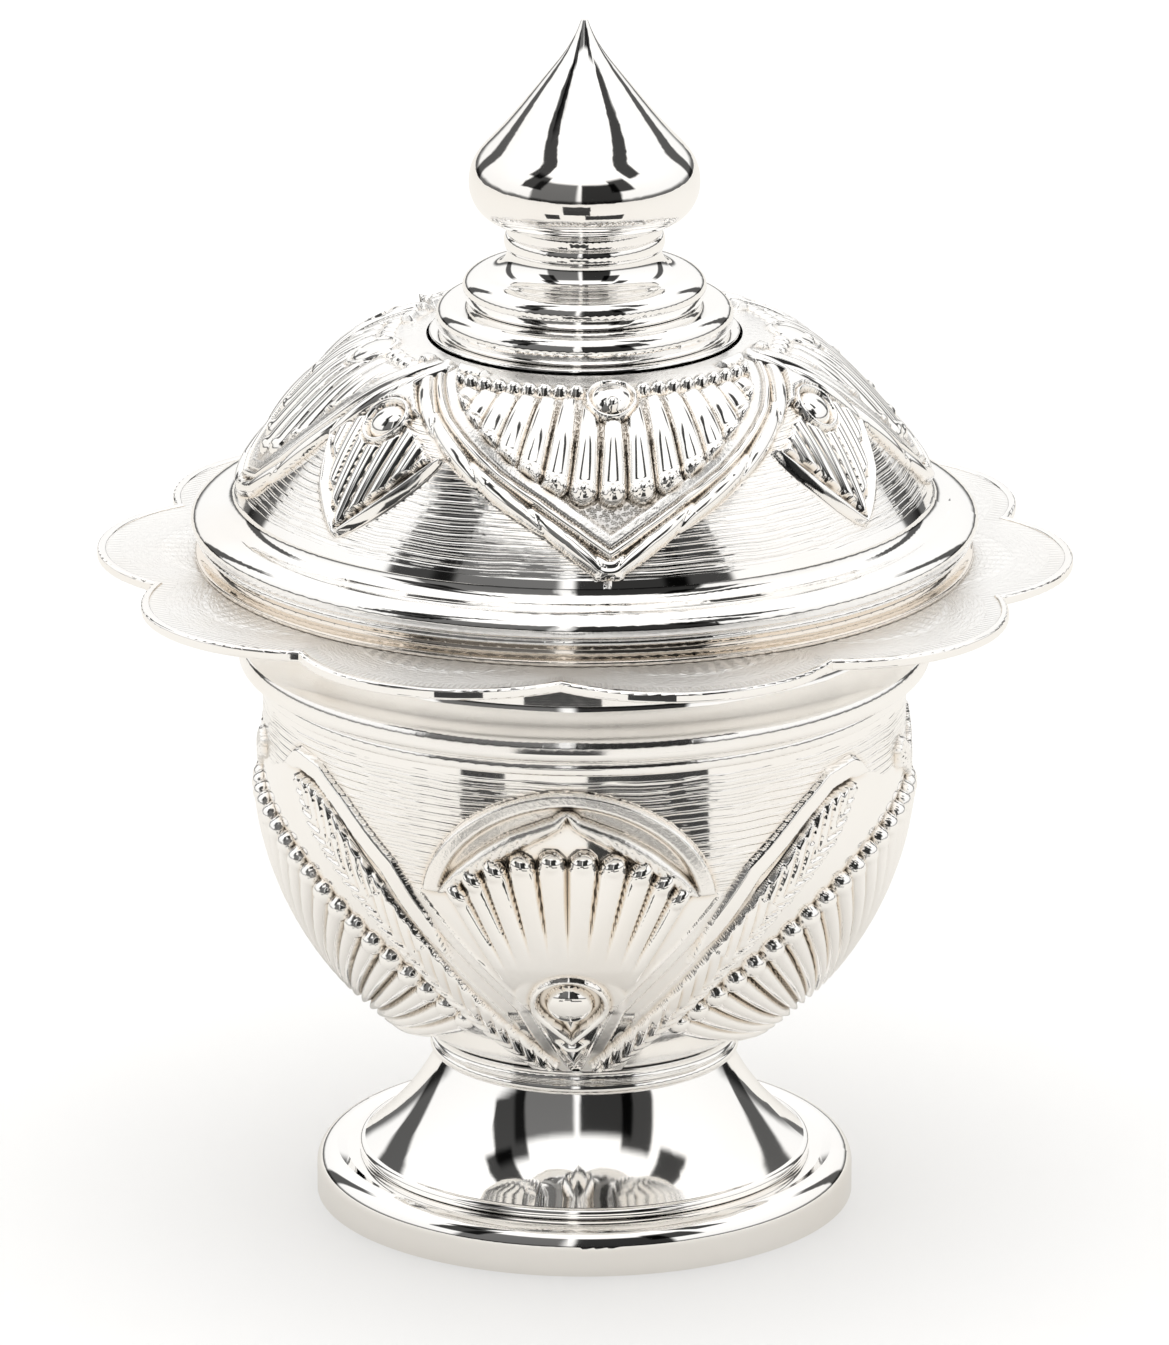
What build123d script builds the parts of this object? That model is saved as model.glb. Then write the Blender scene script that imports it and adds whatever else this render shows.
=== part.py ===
from build123d import *
import math
import os

os.makedirs("parts", exist_ok=True)

# A silver kumkum box: a round bowl on a flared foot, with a scalloped tray round its mouth
# and a domed lid that lifts off by its onion-shaped knob.
# Sizes are in millimetres. The axis is Z and the foot stands on Z = 0.
# The front of the box looks along -Y.

# Sheet and solder
sheet = 0.6  # wall of every raised piece

# Foot
foot_radius = 20.0
foot_band_height = 2.0
foot_roll_radius = 1.5  # rounded shoulder above the upright band
foot_groove_radius = 17.75
foot_groove_depth = 0.35
foot_ring_wall = 1.1
foot_bore_radius = 15.9

# Pedestal
pedestal_bead_radius = 0.45
pedestal_skirt_radius = 16.4
pedestal_top_radius = 11.0
pedestal_top_z = 11.0
pedestal_skirt_angle = 38.0  # slope of the skirt where it leaves the bead, above level

# Waist
waist_bead_height = 1.0
waist_bead_swell = 0.5
waist_bore_radius = 10.2
collar_pinch_radius = 11.15
collar_foot_radius = 11.5
collar_height = 1.0
collar_lip = 0.2  # edge of the collar where it meets the bowl

# Bowl
bowl_radius = 23.8
bowl_bottom_z = 10.1
bowl_wall_height = 5.9  # straight wall above the half ball

# Shoulder moulding above the bowl
shoulder_base_swell = 0.35
shoulder_base_height = 1.1
shoulder_bead_swell = 1.75
shoulder_bead_height = 2.1

# Neck between shoulder and tray
neck_step_in = 1.2  # the neck stands this far inside the bowl's wall
neck_wall = 0.6
neck_height = 6.05
neck_sweep_height = 1.7

# Scalloped tray
petal_count = 10
petal_tip_radius = 36.0
petal_notch_depth = 3.4
tray_thickness = 0.5
edge_wire_width = 0.7
edge_wire_height = 0.8
edge_wire_round = 0.2

# Mouth ring that the lid stands on
mouth_seat_radius = 28.1  # the lid follows this size
mouth_lip_reach = 0.6  # the lip stands out this far past the seat
mouth_lip_height = 0.5
mouth_throat_depth = 0.35
mouth_wall = 1.9
mouth_height = 1.5

# Lid
lid_seat_gap = 0.03  # the lid stands on the mouth ring
lid_collar_clearance = 0.08  # radial running fit of the collar in the mouth ring
lid_collar_depth = 1.4
lid_collar_wall = 0.5
rim_bead_reach = 0.5  # the bead stands out this far past the seat
rim_bead_height = 0.5
rim_roll_reach = 0.9  # the roll stands out this far past the seat
rim_roll_width = 2.0  # from the roll's edge in to the crease where the hollow flare starts
rim_roll_height = 1.85
rim_wall = 0.8
dome_flare_width = 1.4
dome_flare_height = 1.05
dome_slope_width = 6.4
dome_shoulder_height = 8.6
dome_flank_radius = 36.0  # radius of curvature of the lower slope
dome_crown_margin = 0.2  # flat seat of the knob past its flange
dome_crown_height = 3.25

# Knob
stud_radius = 1.5
stud_clearance = 0.08
knob_flange_radius = 11.4
knob_flange_height = 0.35
lower_ring_radius = 10.95
lower_ring_height = 2.1
lower_ring_seat_radius = 9.9
upper_ring_radius = 8.95
upper_ring_height = 2.3
upper_ring_seat_radius = 7.3
neck_pinch_radius = 5.65
neck_flare_height = 1.7
neck_bead_radius = 5.9
neck_bead_height = 1.2
neck_top_bead_height = 0.9
finial_radius = 8.47
finial_seat_radius = 5.75
finial_cup_height = 2.9
finial_crown_height = 12.15
finial_tip_radius = 0.25
finial_shoulder_radius = 6.82
finial_shoulder_height = 3.2
finial_spire_radius = 2.69
finial_spire_height = 8.15
washer_radius = 4.0
washer_thickness = 0.5
nut_across_flats = 5.5
nut_thickness = 1.8
stud_end_length = 0.6  # thread that shows below the nut

# Levels worked out from the sizes above
foot_top_z = foot_band_height + foot_roll_radius
foot_ledge_z = foot_top_z - foot_groove_depth
waist_bead_top_z = pedestal_top_z + waist_bead_height
collar_top_z = waist_bead_top_z + collar_height
bowl_centre_z = bowl_bottom_z + bowl_radius
bowl_top_z = bowl_centre_z + bowl_wall_height
shoulder_bead_z = bowl_top_z + shoulder_base_height
shoulder_top_z = shoulder_bead_z + shoulder_bead_height
neck_top_z = shoulder_top_z + neck_height
tray_top_z = neck_top_z + tray_thickness
mouth_top_z = tray_top_z + mouth_height
lid_bottom_z = mouth_top_z + lid_seat_gap
rim_roll_z = lid_bottom_z + rim_bead_height
rim_top_z = rim_roll_z + rim_roll_height
dome_flare_z = rim_top_z + dome_flare_height
dome_shoulder_z = dome_flare_z + dome_shoulder_height
dome_top_z = dome_shoulder_z + dome_crown_height
knob_flange_top_z = dome_top_z + knob_flange_height
lower_ring_top_z = knob_flange_top_z + lower_ring_height
upper_ring_top_z = lower_ring_top_z + upper_ring_height
knob_pinch_z = upper_ring_top_z + neck_flare_height
neck_bead_top_z = knob_pinch_z + neck_bead_height
finial_seat_z = neck_bead_top_z + neck_top_bead_height
finial_seam_z = finial_seat_z + finial_cup_height
finial_tip_z = finial_seam_z + finial_crown_height
stud_hole_radius = stud_radius + stud_clearance
washer_top_z = dome_top_z - sheet
nut_top_z = washer_top_z - washer_thickness
nut_bottom_z = nut_top_z - nut_thickness
stud_bottom_z = nut_bottom_z - stud_end_length
shoulder_base_radius = bowl_radius + shoulder_base_swell
shoulder_bead_radius = bowl_radius + shoulder_bead_swell
shoulder_edge_radius = shoulder_bead_radius - shoulder_bead_height / 6
neck_radius = bowl_radius - neck_step_in
shoulder_throat_radius = neck_radius - neck_wall
petal_notch_radius = petal_tip_radius - petal_notch_depth
mouth_lip_radius = mouth_seat_radius + mouth_lip_reach
mouth_throat_radius = mouth_seat_radius - mouth_throat_depth
mouth_bore_radius = mouth_seat_radius - mouth_wall
rim_bead_radius = mouth_seat_radius + rim_bead_reach
rim_roll_radius = mouth_seat_radius + rim_roll_reach
rim_crease_radius = rim_roll_radius - rim_roll_width
dome_flare_radius = rim_crease_radius - dome_flare_width
rim_bore_radius = dome_flare_radius - rim_wall
dome_shoulder_radius = dome_flare_radius - dome_slope_width
dome_crown_radius = knob_flange_radius + dome_crown_margin


def roll(foot, equator, top):
    """Draw a rounded bulge from its foot out to its equator and in again to its top."""
    EllipticalCenterArc((foot[0], equator[1]), equator[0] - foot[0], equator[1] - foot[1], -90)
    EllipticalCenterArc((top[0], equator[1]), equator[0] - top[0], top[1] - equator[1], 0)


def hollow(foot, throat, top):
    """Draw a rounded channel from its foot in to its throat and out again to its top."""
    EllipticalCenterArc((foot[0], throat[1]), foot[0] - throat[0], throat[1] - foot[1], 180)
    EllipticalCenterArc((top[0], throat[1]), top[0] - throat[0], top[1] - throat[1], 90)


# Foot ring: upright band, rounded shoulder and the ledge that carries the pedestal
with BuildPart() as foot_ring:
    with BuildSketch(Plane.XZ):
        with BuildLine():
            roll_top = foot_radius - foot_roll_radius
            Polyline((foot_radius - foot_ring_wall, 0), (foot_radius, 0), (foot_radius, foot_band_height))
            CenterArc((roll_top, foot_band_height), foot_roll_radius, 0, 90)
            Polyline(
                (roll_top, foot_top_z),
                (foot_groove_radius, foot_ledge_z),
                (foot_bore_radius, foot_ledge_z),
                (foot_bore_radius, foot_ledge_z - foot_ring_wall),
                (foot_radius - foot_ring_wall, foot_band_height - foot_ring_wall / 2),
                (foot_radius - foot_ring_wall, 0),
            )
        make_face()
    revolve(axis=Axis.Z)
foot_ring.part.label = "foot_ring"
export_step(foot_ring.part, "parts/foot_ring.step")

# Pedestal: a flared skirt raised from sheet, with a turned bead at its hem
with BuildPart() as pedestal:
    skirt_z = foot_ledge_z + 2 * pedestal_bead_radius
    skirt_start = (pedestal_skirt_radius, skirt_z)
    skirt_run = math.radians(180 - pedestal_skirt_angle)
    with BuildSketch(Plane.XZ):
        with BuildLine():
            TangentArc(
                skirt_start,
                (pedestal_top_radius, pedestal_top_z),
                tangent=(math.cos(skirt_run), math.sin(skirt_run)),
            )
            offset(amount=sheet, side=Side.LEFT)
        make_face()
        with BuildLine():
            hem_inner = pedestal_skirt_radius - sheet
            Polyline((hem_inner, skirt_z), (hem_inner, foot_ledge_z), (pedestal_skirt_radius, foot_ledge_z))
            CenterArc((pedestal_skirt_radius, foot_ledge_z + pedestal_bead_radius), pedestal_bead_radius, -90, 180)
            Line(skirt_start, (hem_inner, skirt_z))
        make_face()
    revolve(axis=Axis.Z)
pedestal.part.label = "pedestal"
export_step(pedestal.part, "parts/pedestal.step")

# Waist ring: the half-round bead between pedestal and bowl
with BuildPart() as waist_ring:
    with BuildSketch(Plane.XZ):
        with BuildLine():
            Polyline(
                (pedestal_top_radius, waist_bead_top_z),
                (waist_bore_radius, waist_bead_top_z),
                (waist_bore_radius, pedestal_top_z),
                (pedestal_top_radius, pedestal_top_z),
            )
            roll(
                (pedestal_top_radius, pedestal_top_z),
                (pedestal_top_radius + waist_bead_swell, pedestal_top_z + waist_bead_height / 2),
                (pedestal_top_radius, waist_bead_top_z),
            )
        make_face()
    revolve(axis=Axis.Z)
waist_ring.part.label = "waist_ring"
export_step(waist_ring.part, "parts/waist_ring.step")

# Bowl collar: a hollow moulding that the round bottom of the bowl sits in
with BuildPart() as bowl_collar:
    collar_drop = bowl_centre_z - collar_top_z
    collar_top_radius = math.sqrt(bowl_radius**2 - collar_drop**2) + collar_lip
    with BuildSketch(Plane.XZ):
        with BuildLine():
            Polyline(
                (collar_top_radius, collar_top_z),
                (waist_bore_radius, collar_top_z),
                (waist_bore_radius, waist_bead_top_z),
                (collar_foot_radius, waist_bead_top_z),
            )
            pinch_z = (waist_bead_top_z + collar_top_z) / 2
            EllipticalCenterArc(
                (collar_foot_radius, pinch_z),
                collar_foot_radius - collar_pinch_radius,
                pinch_z - waist_bead_top_z,
                180,
            )
            Line((collar_pinch_radius, pinch_z), (collar_top_radius, collar_top_z))
        make_face()
        with Locations((0, bowl_centre_z)):
            Circle(bowl_radius, mode=Mode.SUBTRACT)
    revolve(axis=Axis.Z)
bowl_collar.part.label = "bowl_collar"
export_step(bowl_collar.part, "parts/bowl_collar.step")

# Bowl: a half ball with a short straight wall, raised from one sheet
with BuildPart() as bowl:
    with BuildSketch(Plane.XZ):
        with BuildLine():
            CenterArc((0, bowl_centre_z), bowl_radius, -90, 90)
            Line((bowl_radius, bowl_centre_z), (bowl_radius, bowl_top_z))
            offset(amount=sheet, side=Side.LEFT)
        make_face()
    revolve(axis=Axis.Z)
bowl.part.label = "bowl"
export_step(bowl.part, "parts/bowl.step")

# Shoulder ring: a small bead, a groove and a large bead round the top of the bowl
with BuildPart() as shoulder_ring:
    with BuildSketch(Plane.XZ):
        with BuildLine():
            roll(
                (bowl_radius, bowl_top_z),
                (shoulder_base_radius, bowl_top_z + shoulder_base_height / 2),
                (bowl_radius, shoulder_bead_z),
            )
            roll(
                (bowl_radius, shoulder_bead_z),
                (shoulder_bead_radius, shoulder_bead_z + shoulder_bead_height / 2),
                (shoulder_edge_radius, shoulder_top_z),
            )
            Polyline(
                (shoulder_edge_radius, shoulder_top_z),
                (shoulder_throat_radius, shoulder_top_z),
                (shoulder_throat_radius, bowl_top_z),
                (bowl_radius, bowl_top_z),
            )
        make_face()
    revolve(axis=Axis.Z)
shoulder_ring.part.label = "shoulder_ring"
export_step(shoulder_ring.part, "parts/shoulder_ring.step")

# Neck ring: sweeps in from the shoulder and stands up to the tray
with BuildPart() as neck_ring:
    with BuildSketch(Plane.XZ):
        with BuildLine():
            Polyline(
                (neck_radius, shoulder_top_z + neck_sweep_height),
                (neck_radius, neck_top_z),
                (shoulder_throat_radius, neck_top_z),
                (shoulder_throat_radius, shoulder_top_z),
                (shoulder_edge_radius, shoulder_top_z),
            )
            EllipticalCenterArc(
                (shoulder_edge_radius, shoulder_top_z + neck_sweep_height),
                shoulder_edge_radius - neck_radius,
                neck_sweep_height,
                180,
            )
        make_face()
    revolve(axis=Axis.Z)
neck_ring.part.label = "neck_ring"
export_step(neck_ring.part, "parts/neck_ring.step")


def scalloped_outline(inset):
    """Draw the outline of the tray, a ring of petal arcs, drawn in by the inset."""
    half_petal = math.pi / petal_count
    for index in range(petal_count):
        start = 2 * half_petal * index - math.pi / 2
        notch = petal_notch_radius - inset
        tip = petal_tip_radius - inset
        ThreePointArc(
            (notch * math.cos(start), notch * math.sin(start)),
            (tip * math.cos(start + half_petal), tip * math.sin(start + half_petal)),
            (notch * math.cos(start + 2 * half_petal), notch * math.sin(start + 2 * half_petal)),
        )


# Petal tray: a flat plate cut to a ring of petals
with BuildPart() as petal_tray:
    with BuildSketch(Plane.XY.offset(neck_top_z)):
        with BuildLine():
            scalloped_outline(edge_wire_width)
        make_face()
        Circle(shoulder_throat_radius, mode=Mode.SUBTRACT)
    extrude(amount=tray_thickness)
petal_tray.part.label = "petal_tray"
export_step(petal_tray.part, "parts/petal_tray.step")

# Tray edge: the rounded wire that borders the petals
with BuildPart() as tray_edge_wire:
    wire_bottom_z = neck_top_z + tray_thickness / 2 - edge_wire_height / 2
    with BuildSketch(Plane.XY.offset(wire_bottom_z)):
        with BuildLine():
            scalloped_outline(0)
        make_face()
        with BuildLine():
            scalloped_outline(edge_wire_width)
        make_face(mode=Mode.SUBTRACT)
    extrude(amount=edge_wire_height)
    flat_faces = tray_edge_wire.faces().filter_by(Axis.Z)
    fillet(flat_faces.edges(), radius=edge_wire_round)
tray_edge_wire.part.label = "tray_edge_wire"
export_step(tray_edge_wire.part, "parts/tray_edge_wire.step")

# Mouth ring: a projecting lip, a hollow channel and the seat of the lid
with BuildPart() as mouth_ring:
    lip_z = tray_top_z + mouth_lip_height
    lip_root = mouth_lip_radius - mouth_lip_height / 2
    with BuildSketch(Plane.XZ):
        with BuildLine():
            roll(
                (lip_root, tray_top_z),
                (mouth_lip_radius, tray_top_z + mouth_lip_height * 0.6),
                (lip_root, lip_z),
            )
            hollow(
                (lip_root, lip_z),
                (mouth_throat_radius, (lip_z + mouth_top_z) / 2),
                (mouth_seat_radius, mouth_top_z),
            )
            Polyline(
                (mouth_seat_radius, mouth_top_z),
                (mouth_bore_radius, mouth_top_z),
                (mouth_bore_radius, tray_top_z),
                (lip_root, tray_top_z),
            )
        make_face()
    revolve(axis=Axis.Z)
mouth_ring.part.label = "mouth_ring"
export_step(mouth_ring.part, "parts/mouth_ring.step")

# Lid rim: a small bead, a full roll and a hollow flare up to the dome
with BuildPart() as lid_rim:
    bead_root = rim_bead_radius - rim_bead_height / 2
    with BuildSketch(Plane.XZ):
        with BuildLine():
            roll(
                (bead_root, lid_bottom_z),
                (rim_bead_radius, lid_bottom_z + rim_bead_height / 2),
                (bead_root, rim_roll_z),
            )
            roll(
                (bead_root, rim_roll_z),
                (rim_roll_radius, rim_roll_z + rim_roll_height * 0.4),
                (rim_crease_radius, rim_top_z),
            )
            EllipticalCenterArc(
                (rim_crease_radius, dome_flare_z),
                rim_crease_radius - dome_flare_radius,
                dome_flare_height,
                180,
            )
            Polyline(
                (dome_flare_radius, dome_flare_z),
                (rim_bore_radius, dome_flare_z),
                (rim_bore_radius, lid_bottom_z),
                (bead_root, lid_bottom_z),
            )
        make_face()
    revolve(axis=Axis.Z)
lid_rim.part.label = "lid_rim"
export_step(lid_rim.part, "parts/lid_rim.step")

# Lid collar: the band inside the rim that drops into the mouth ring
with BuildPart() as lid_collar:
    collar_outer = mouth_bore_radius - lid_collar_clearance
    with BuildSketch(Plane.XY.offset(lid_bottom_z - lid_collar_depth)):
        Circle(collar_outer)
        Circle(collar_outer - lid_collar_wall, mode=Mode.SUBTRACT)
    extrude(amount=lid_collar_depth)
lid_collar.part.label = "lid_collar"
export_step(lid_collar.part, "parts/lid_collar.step")

# Lid dome: a long slope and a round shoulder raised from one sheet, cut level where it stands on the rim
with BuildPart() as lid_dome:
    with BuildSketch(Plane.XZ):
        with BuildLine():
            slope = RadiusArc(
                (dome_flare_radius, dome_flare_z),
                (dome_shoulder_radius, dome_shoulder_z),
                -dome_flank_radius,
            )
            TangentArc(
                (dome_shoulder_radius, dome_shoulder_z),
                (dome_crown_radius, dome_top_z),
                tangent=slope % 1,
            )
            Line((dome_crown_radius, dome_top_z), (stud_hole_radius, dome_top_z))
            offset(amount=sheet, side=Side.LEFT)
        make_face()
        with Locations((0, dome_flare_z)):
            Rectangle(3 * dome_flare_radius, 2 * sheet, align=(Align.CENTER, Align.MAX), mode=Mode.SUBTRACT)
    revolve(axis=Axis.Z)
lid_dome.part.label = "lid_dome"
export_step(lid_dome.part, "parts/lid_dome.step")

# Lower ring of the knob, on a thin flange
with BuildPart() as knob_lower_ring:
    with BuildSketch(Plane.XZ):
        with BuildLine():
            flange_root = knob_flange_radius - knob_flange_height / 2
            ring_root = lower_ring_radius - lower_ring_height / 4
            roll(
                (flange_root, dome_top_z),
                (knob_flange_radius, dome_top_z + knob_flange_height / 2),
                (flange_root, knob_flange_top_z),
            )
            Line((flange_root, knob_flange_top_z), (ring_root, knob_flange_top_z))
            roll(
                (ring_root, knob_flange_top_z),
                (lower_ring_radius, knob_flange_top_z + lower_ring_height / 2),
                (lower_ring_seat_radius, lower_ring_top_z),
            )
            Polyline(
                (lower_ring_seat_radius, lower_ring_top_z),
                (stud_hole_radius, lower_ring_top_z),
                (stud_hole_radius, dome_top_z),
                (flange_root, dome_top_z),
            )
        make_face()
    revolve(axis=Axis.Z)
knob_lower_ring.part.label = "knob_lower_ring"
export_step(knob_lower_ring.part, "parts/knob_lower_ring.step")

# Upper ring of the knob
with BuildPart() as knob_upper_ring:
    with BuildSketch(Plane.XZ):
        with BuildLine():
            ring_root = upper_ring_radius - upper_ring_height / 4
            roll(
                (ring_root, lower_ring_top_z),
                (upper_ring_radius, lower_ring_top_z + upper_ring_height / 2),
                (upper_ring_seat_radius, upper_ring_top_z),
            )
            Polyline(
                (upper_ring_seat_radius, upper_ring_top_z),
                (stud_hole_radius, upper_ring_top_z),
                (stud_hole_radius, lower_ring_top_z),
                (ring_root, lower_ring_top_z),
            )
        make_face()
    revolve(axis=Axis.Z)
knob_upper_ring.part.label = "knob_upper_ring"
export_step(knob_upper_ring.part, "parts/knob_upper_ring.step")

# Knob neck: a hollow flare, a bead and a thin top bead below the finial
with BuildPart() as knob_neck:
    with BuildSketch(Plane.XZ):
        with BuildLine():
            EllipticalCenterArc(
                (upper_ring_seat_radius, knob_pinch_z),
                upper_ring_seat_radius - neck_pinch_radius,
                neck_flare_height,
                180,
            )
            roll(
                (neck_pinch_radius, knob_pinch_z),
                (neck_bead_radius, knob_pinch_z + neck_bead_height / 2),
                (neck_pinch_radius, neck_bead_top_z),
            )
            roll(
                (neck_pinch_radius, neck_bead_top_z),
                (finial_seat_radius, neck_bead_top_z + neck_top_bead_height / 2),
                (neck_pinch_radius, finial_seat_z),
            )
            Polyline(
                (neck_pinch_radius, finial_seat_z),
                (stud_hole_radius, finial_seat_z),
                (stud_hole_radius, upper_ring_top_z),
                (upper_ring_seat_radius, upper_ring_top_z),
            )
        make_face()
    revolve(axis=Axis.Z)
knob_neck.part.label = "knob_neck"
export_step(knob_neck.part, "parts/knob_neck.step")

# Finial cup: the lower half of the hollow onion
with BuildPart() as finial_cup:
    with BuildSketch(Plane.XZ):
        with BuildLine():
            cup_swell = finial_radius - finial_seat_radius
            Line((0, finial_seat_z), (finial_seat_radius, finial_seat_z))
            EllipticalCenterArc((finial_seat_radius, finial_seam_z), cup_swell, finial_cup_height, -90)
            Line((finial_radius, finial_seam_z), (finial_radius - sheet, finial_seam_z))
            EllipticalCenterArc(
                (finial_seat_radius - sheet, finial_seam_z),
                cup_swell,
                finial_cup_height - sheet,
                -90,
            )
            Polyline(
                (finial_seat_radius - sheet, finial_seat_z + sheet),
                (0, finial_seat_z + sheet),
                (0, finial_seat_z),
            )
        make_face()
    revolve(axis=Axis.Z)
finial_cup.part.label = "finial_cup"
export_step(finial_cup.part, "parts/finial_cup.step")

# Finial crown: the upper half of the onion, hollow up to the spire
with BuildPart() as finial_crown:
    with BuildSketch(Plane.XZ):
        with BuildLine():
            Spline(
                (finial_radius, finial_seam_z),
                (finial_shoulder_radius, finial_seam_z + finial_shoulder_height),
                (finial_spire_radius, finial_seam_z + finial_spire_height),
                (finial_tip_radius, finial_tip_z),
                tangents=[(0, 1), (-1, 3)],
            )
            Line((finial_tip_radius, finial_tip_z), (0, finial_tip_z))
            Line((0, finial_tip_z), (0, finial_seam_z + finial_spire_height))
            Spline(
                (0, finial_seam_z + finial_spire_height),
                (finial_shoulder_radius - sheet - sheet / 3, finial_seam_z + finial_shoulder_height - sheet / 3),
                (finial_radius - sheet, finial_seam_z),
                tangents=[(1, -1), (0, -1)],
            )
            Line((finial_radius - sheet, finial_seam_z), (finial_radius, finial_seam_z))
        make_face()
    revolve(axis=Axis.Z)
finial_crown.part.label = "finial_crown"
export_step(finial_crown.part, "parts/finial_crown.step")

# Knob stud: the threaded post that draws the knob down on the dome
with BuildPart() as knob_stud:
    with BuildSketch(Plane.XY.offset(stud_bottom_z)):
        Circle(stud_radius)
    extrude(amount=finial_seat_z - stud_bottom_z)
    chamfer(knob_stud.edges().group_by(Axis.Z)[0], length=stud_radius / 5)
knob_stud.part.label = "knob_stud"
export_step(knob_stud.part, "parts/knob_stud.step")

# Washer inside the lid
with BuildPart() as knob_washer:
    with BuildSketch(Plane.XY.offset(nut_top_z)):
        Circle(washer_radius)
        Circle(stud_hole_radius, mode=Mode.SUBTRACT)
    extrude(amount=washer_thickness)
knob_washer.part.label = "knob_washer"
export_step(knob_washer.part, "parts/knob_washer.step")

# Nut inside the lid
with BuildPart() as knob_nut:
    with BuildSketch(Plane.XY.offset(nut_bottom_z)):
        RegularPolygon(radius=nut_across_flats / 2, side_count=6, major_radius=False)
        Circle(stud_radius, mode=Mode.SUBTRACT)
    extrude(amount=nut_thickness)
knob_nut.part.label = "knob_nut"
export_step(knob_nut.part, "parts/knob_nut.step")
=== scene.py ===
import logging
import math
from dataclasses import dataclass
from enum import Enum

import bpy
import numpy as np
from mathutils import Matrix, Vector


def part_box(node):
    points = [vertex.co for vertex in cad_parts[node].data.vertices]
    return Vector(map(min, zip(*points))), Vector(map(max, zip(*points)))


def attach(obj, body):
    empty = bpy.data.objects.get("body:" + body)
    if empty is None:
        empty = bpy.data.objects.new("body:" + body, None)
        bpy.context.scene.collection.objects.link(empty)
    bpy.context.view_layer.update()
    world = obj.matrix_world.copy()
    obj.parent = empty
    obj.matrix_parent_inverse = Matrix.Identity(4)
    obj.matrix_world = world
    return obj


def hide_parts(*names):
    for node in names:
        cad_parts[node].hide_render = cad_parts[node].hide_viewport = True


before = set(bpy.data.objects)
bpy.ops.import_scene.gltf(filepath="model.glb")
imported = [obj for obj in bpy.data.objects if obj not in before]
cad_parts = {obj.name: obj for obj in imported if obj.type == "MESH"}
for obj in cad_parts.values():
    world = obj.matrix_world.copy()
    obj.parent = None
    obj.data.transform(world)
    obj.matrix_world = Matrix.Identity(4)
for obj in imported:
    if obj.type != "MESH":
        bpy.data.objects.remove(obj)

LOG = logging.getLogger("kumkum_box")
MM = 0.001
MICROMETRE = 1e-6
LID_TURN = 7.5  # degrees that the lid is turned in its seat, from the box's front towards +X
FOOT_SHIFT = -0.7  # degrees that the lid's ornament starts off that turn at the dome's foot, as it leans
SIDE = 90.0  # degrees from the front to the side, where a quarter of ornament ends
FAR_DOWN = -9.0  # a height in millimetres that never shows, so nothing is raised there

Path = tuple[tuple[float, float], ...]


class Slot(Enum):
    """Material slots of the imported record."""

    POLISHED = "polished_silver"
    EMBOSSED = "embossed_silver"
    SATIN = "satin_silver"
    HATCHED = "hatched_silver"
    BRASS = "plated_brass"


class Body(Enum):
    """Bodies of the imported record."""

    BOX = "box"
    LID = "lid"


def smooth(low: float, high: float, value: np.ndarray) -> np.ndarray:
    """Rise smoothly from 0 at low to 1 at high.

    Args:
        low: Value at which the step starts.
        high: Value at which the step ends; it may be below low.
        value: The values to map.

    Returns:
        The mapped values, from 0 to 1.
    """
    t = np.clip((value - low) / (high - low), 0.0, 1.0)
    return t * t * (3.0 - 2.0 * t)


def half_round(distance: np.ndarray, half_width: np.ndarray | float) -> np.ndarray:
    """Give the height of a half-round ridge of unit height.

    Args:
        distance: Distance from the middle of the ridge, of either sign.
        half_width: Half the ridge's width.

    Returns:
        Heights from 0 at the ridge's feet to 1 at its crest.
    """
    return np.sqrt(np.clip(1.0 - (distance / half_width) ** 2, 0.0, 1.0))


# Turned surfaces that carry the ornament


@dataclass(frozen=True)
class BowlProfile:
    """Outline of the bowl in millimetres, from the top of its wall down to the middle of its bottom.

    Attributes:
        radius: Radius of the half ball and of the wall above it.
        centre_z: Level of the ball's centre.
        wall: Height of the straight wall.
    """

    radius: float
    centre_z: float
    wall: float

    @classmethod
    def from_frame(cls) -> "BowlProfile":
        """Read the bowl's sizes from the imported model."""
        low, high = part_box("bowl")
        radius = high[0] / MM
        centre = low[2] / MM + radius
        return cls(radius, centre, high[2] / MM - centre)

    def latitude(self, course: np.ndarray) -> np.ndarray:
        """Angle below the ball's equator at a length along the outline, in radians."""
        return (course - self.wall) / self.radius

    def place(self, course: np.ndarray) -> tuple[np.ndarray, np.ndarray, np.ndarray, np.ndarray]:
        """Find the outline's points and outward normals.

        Args:
            course: Lengths along the outline from the top.

        Returns:
            Radius, level, and the outward normal's radial and vertical parts.
        """
        angle = np.maximum(self.latitude(course), 0.0)
        drop = np.where(course < self.wall, self.wall - course, 0.0)
        level = self.centre_z + drop - self.radius * np.sin(angle)
        return self.radius * np.cos(angle), level, np.cos(angle), -np.sin(angle)


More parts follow.
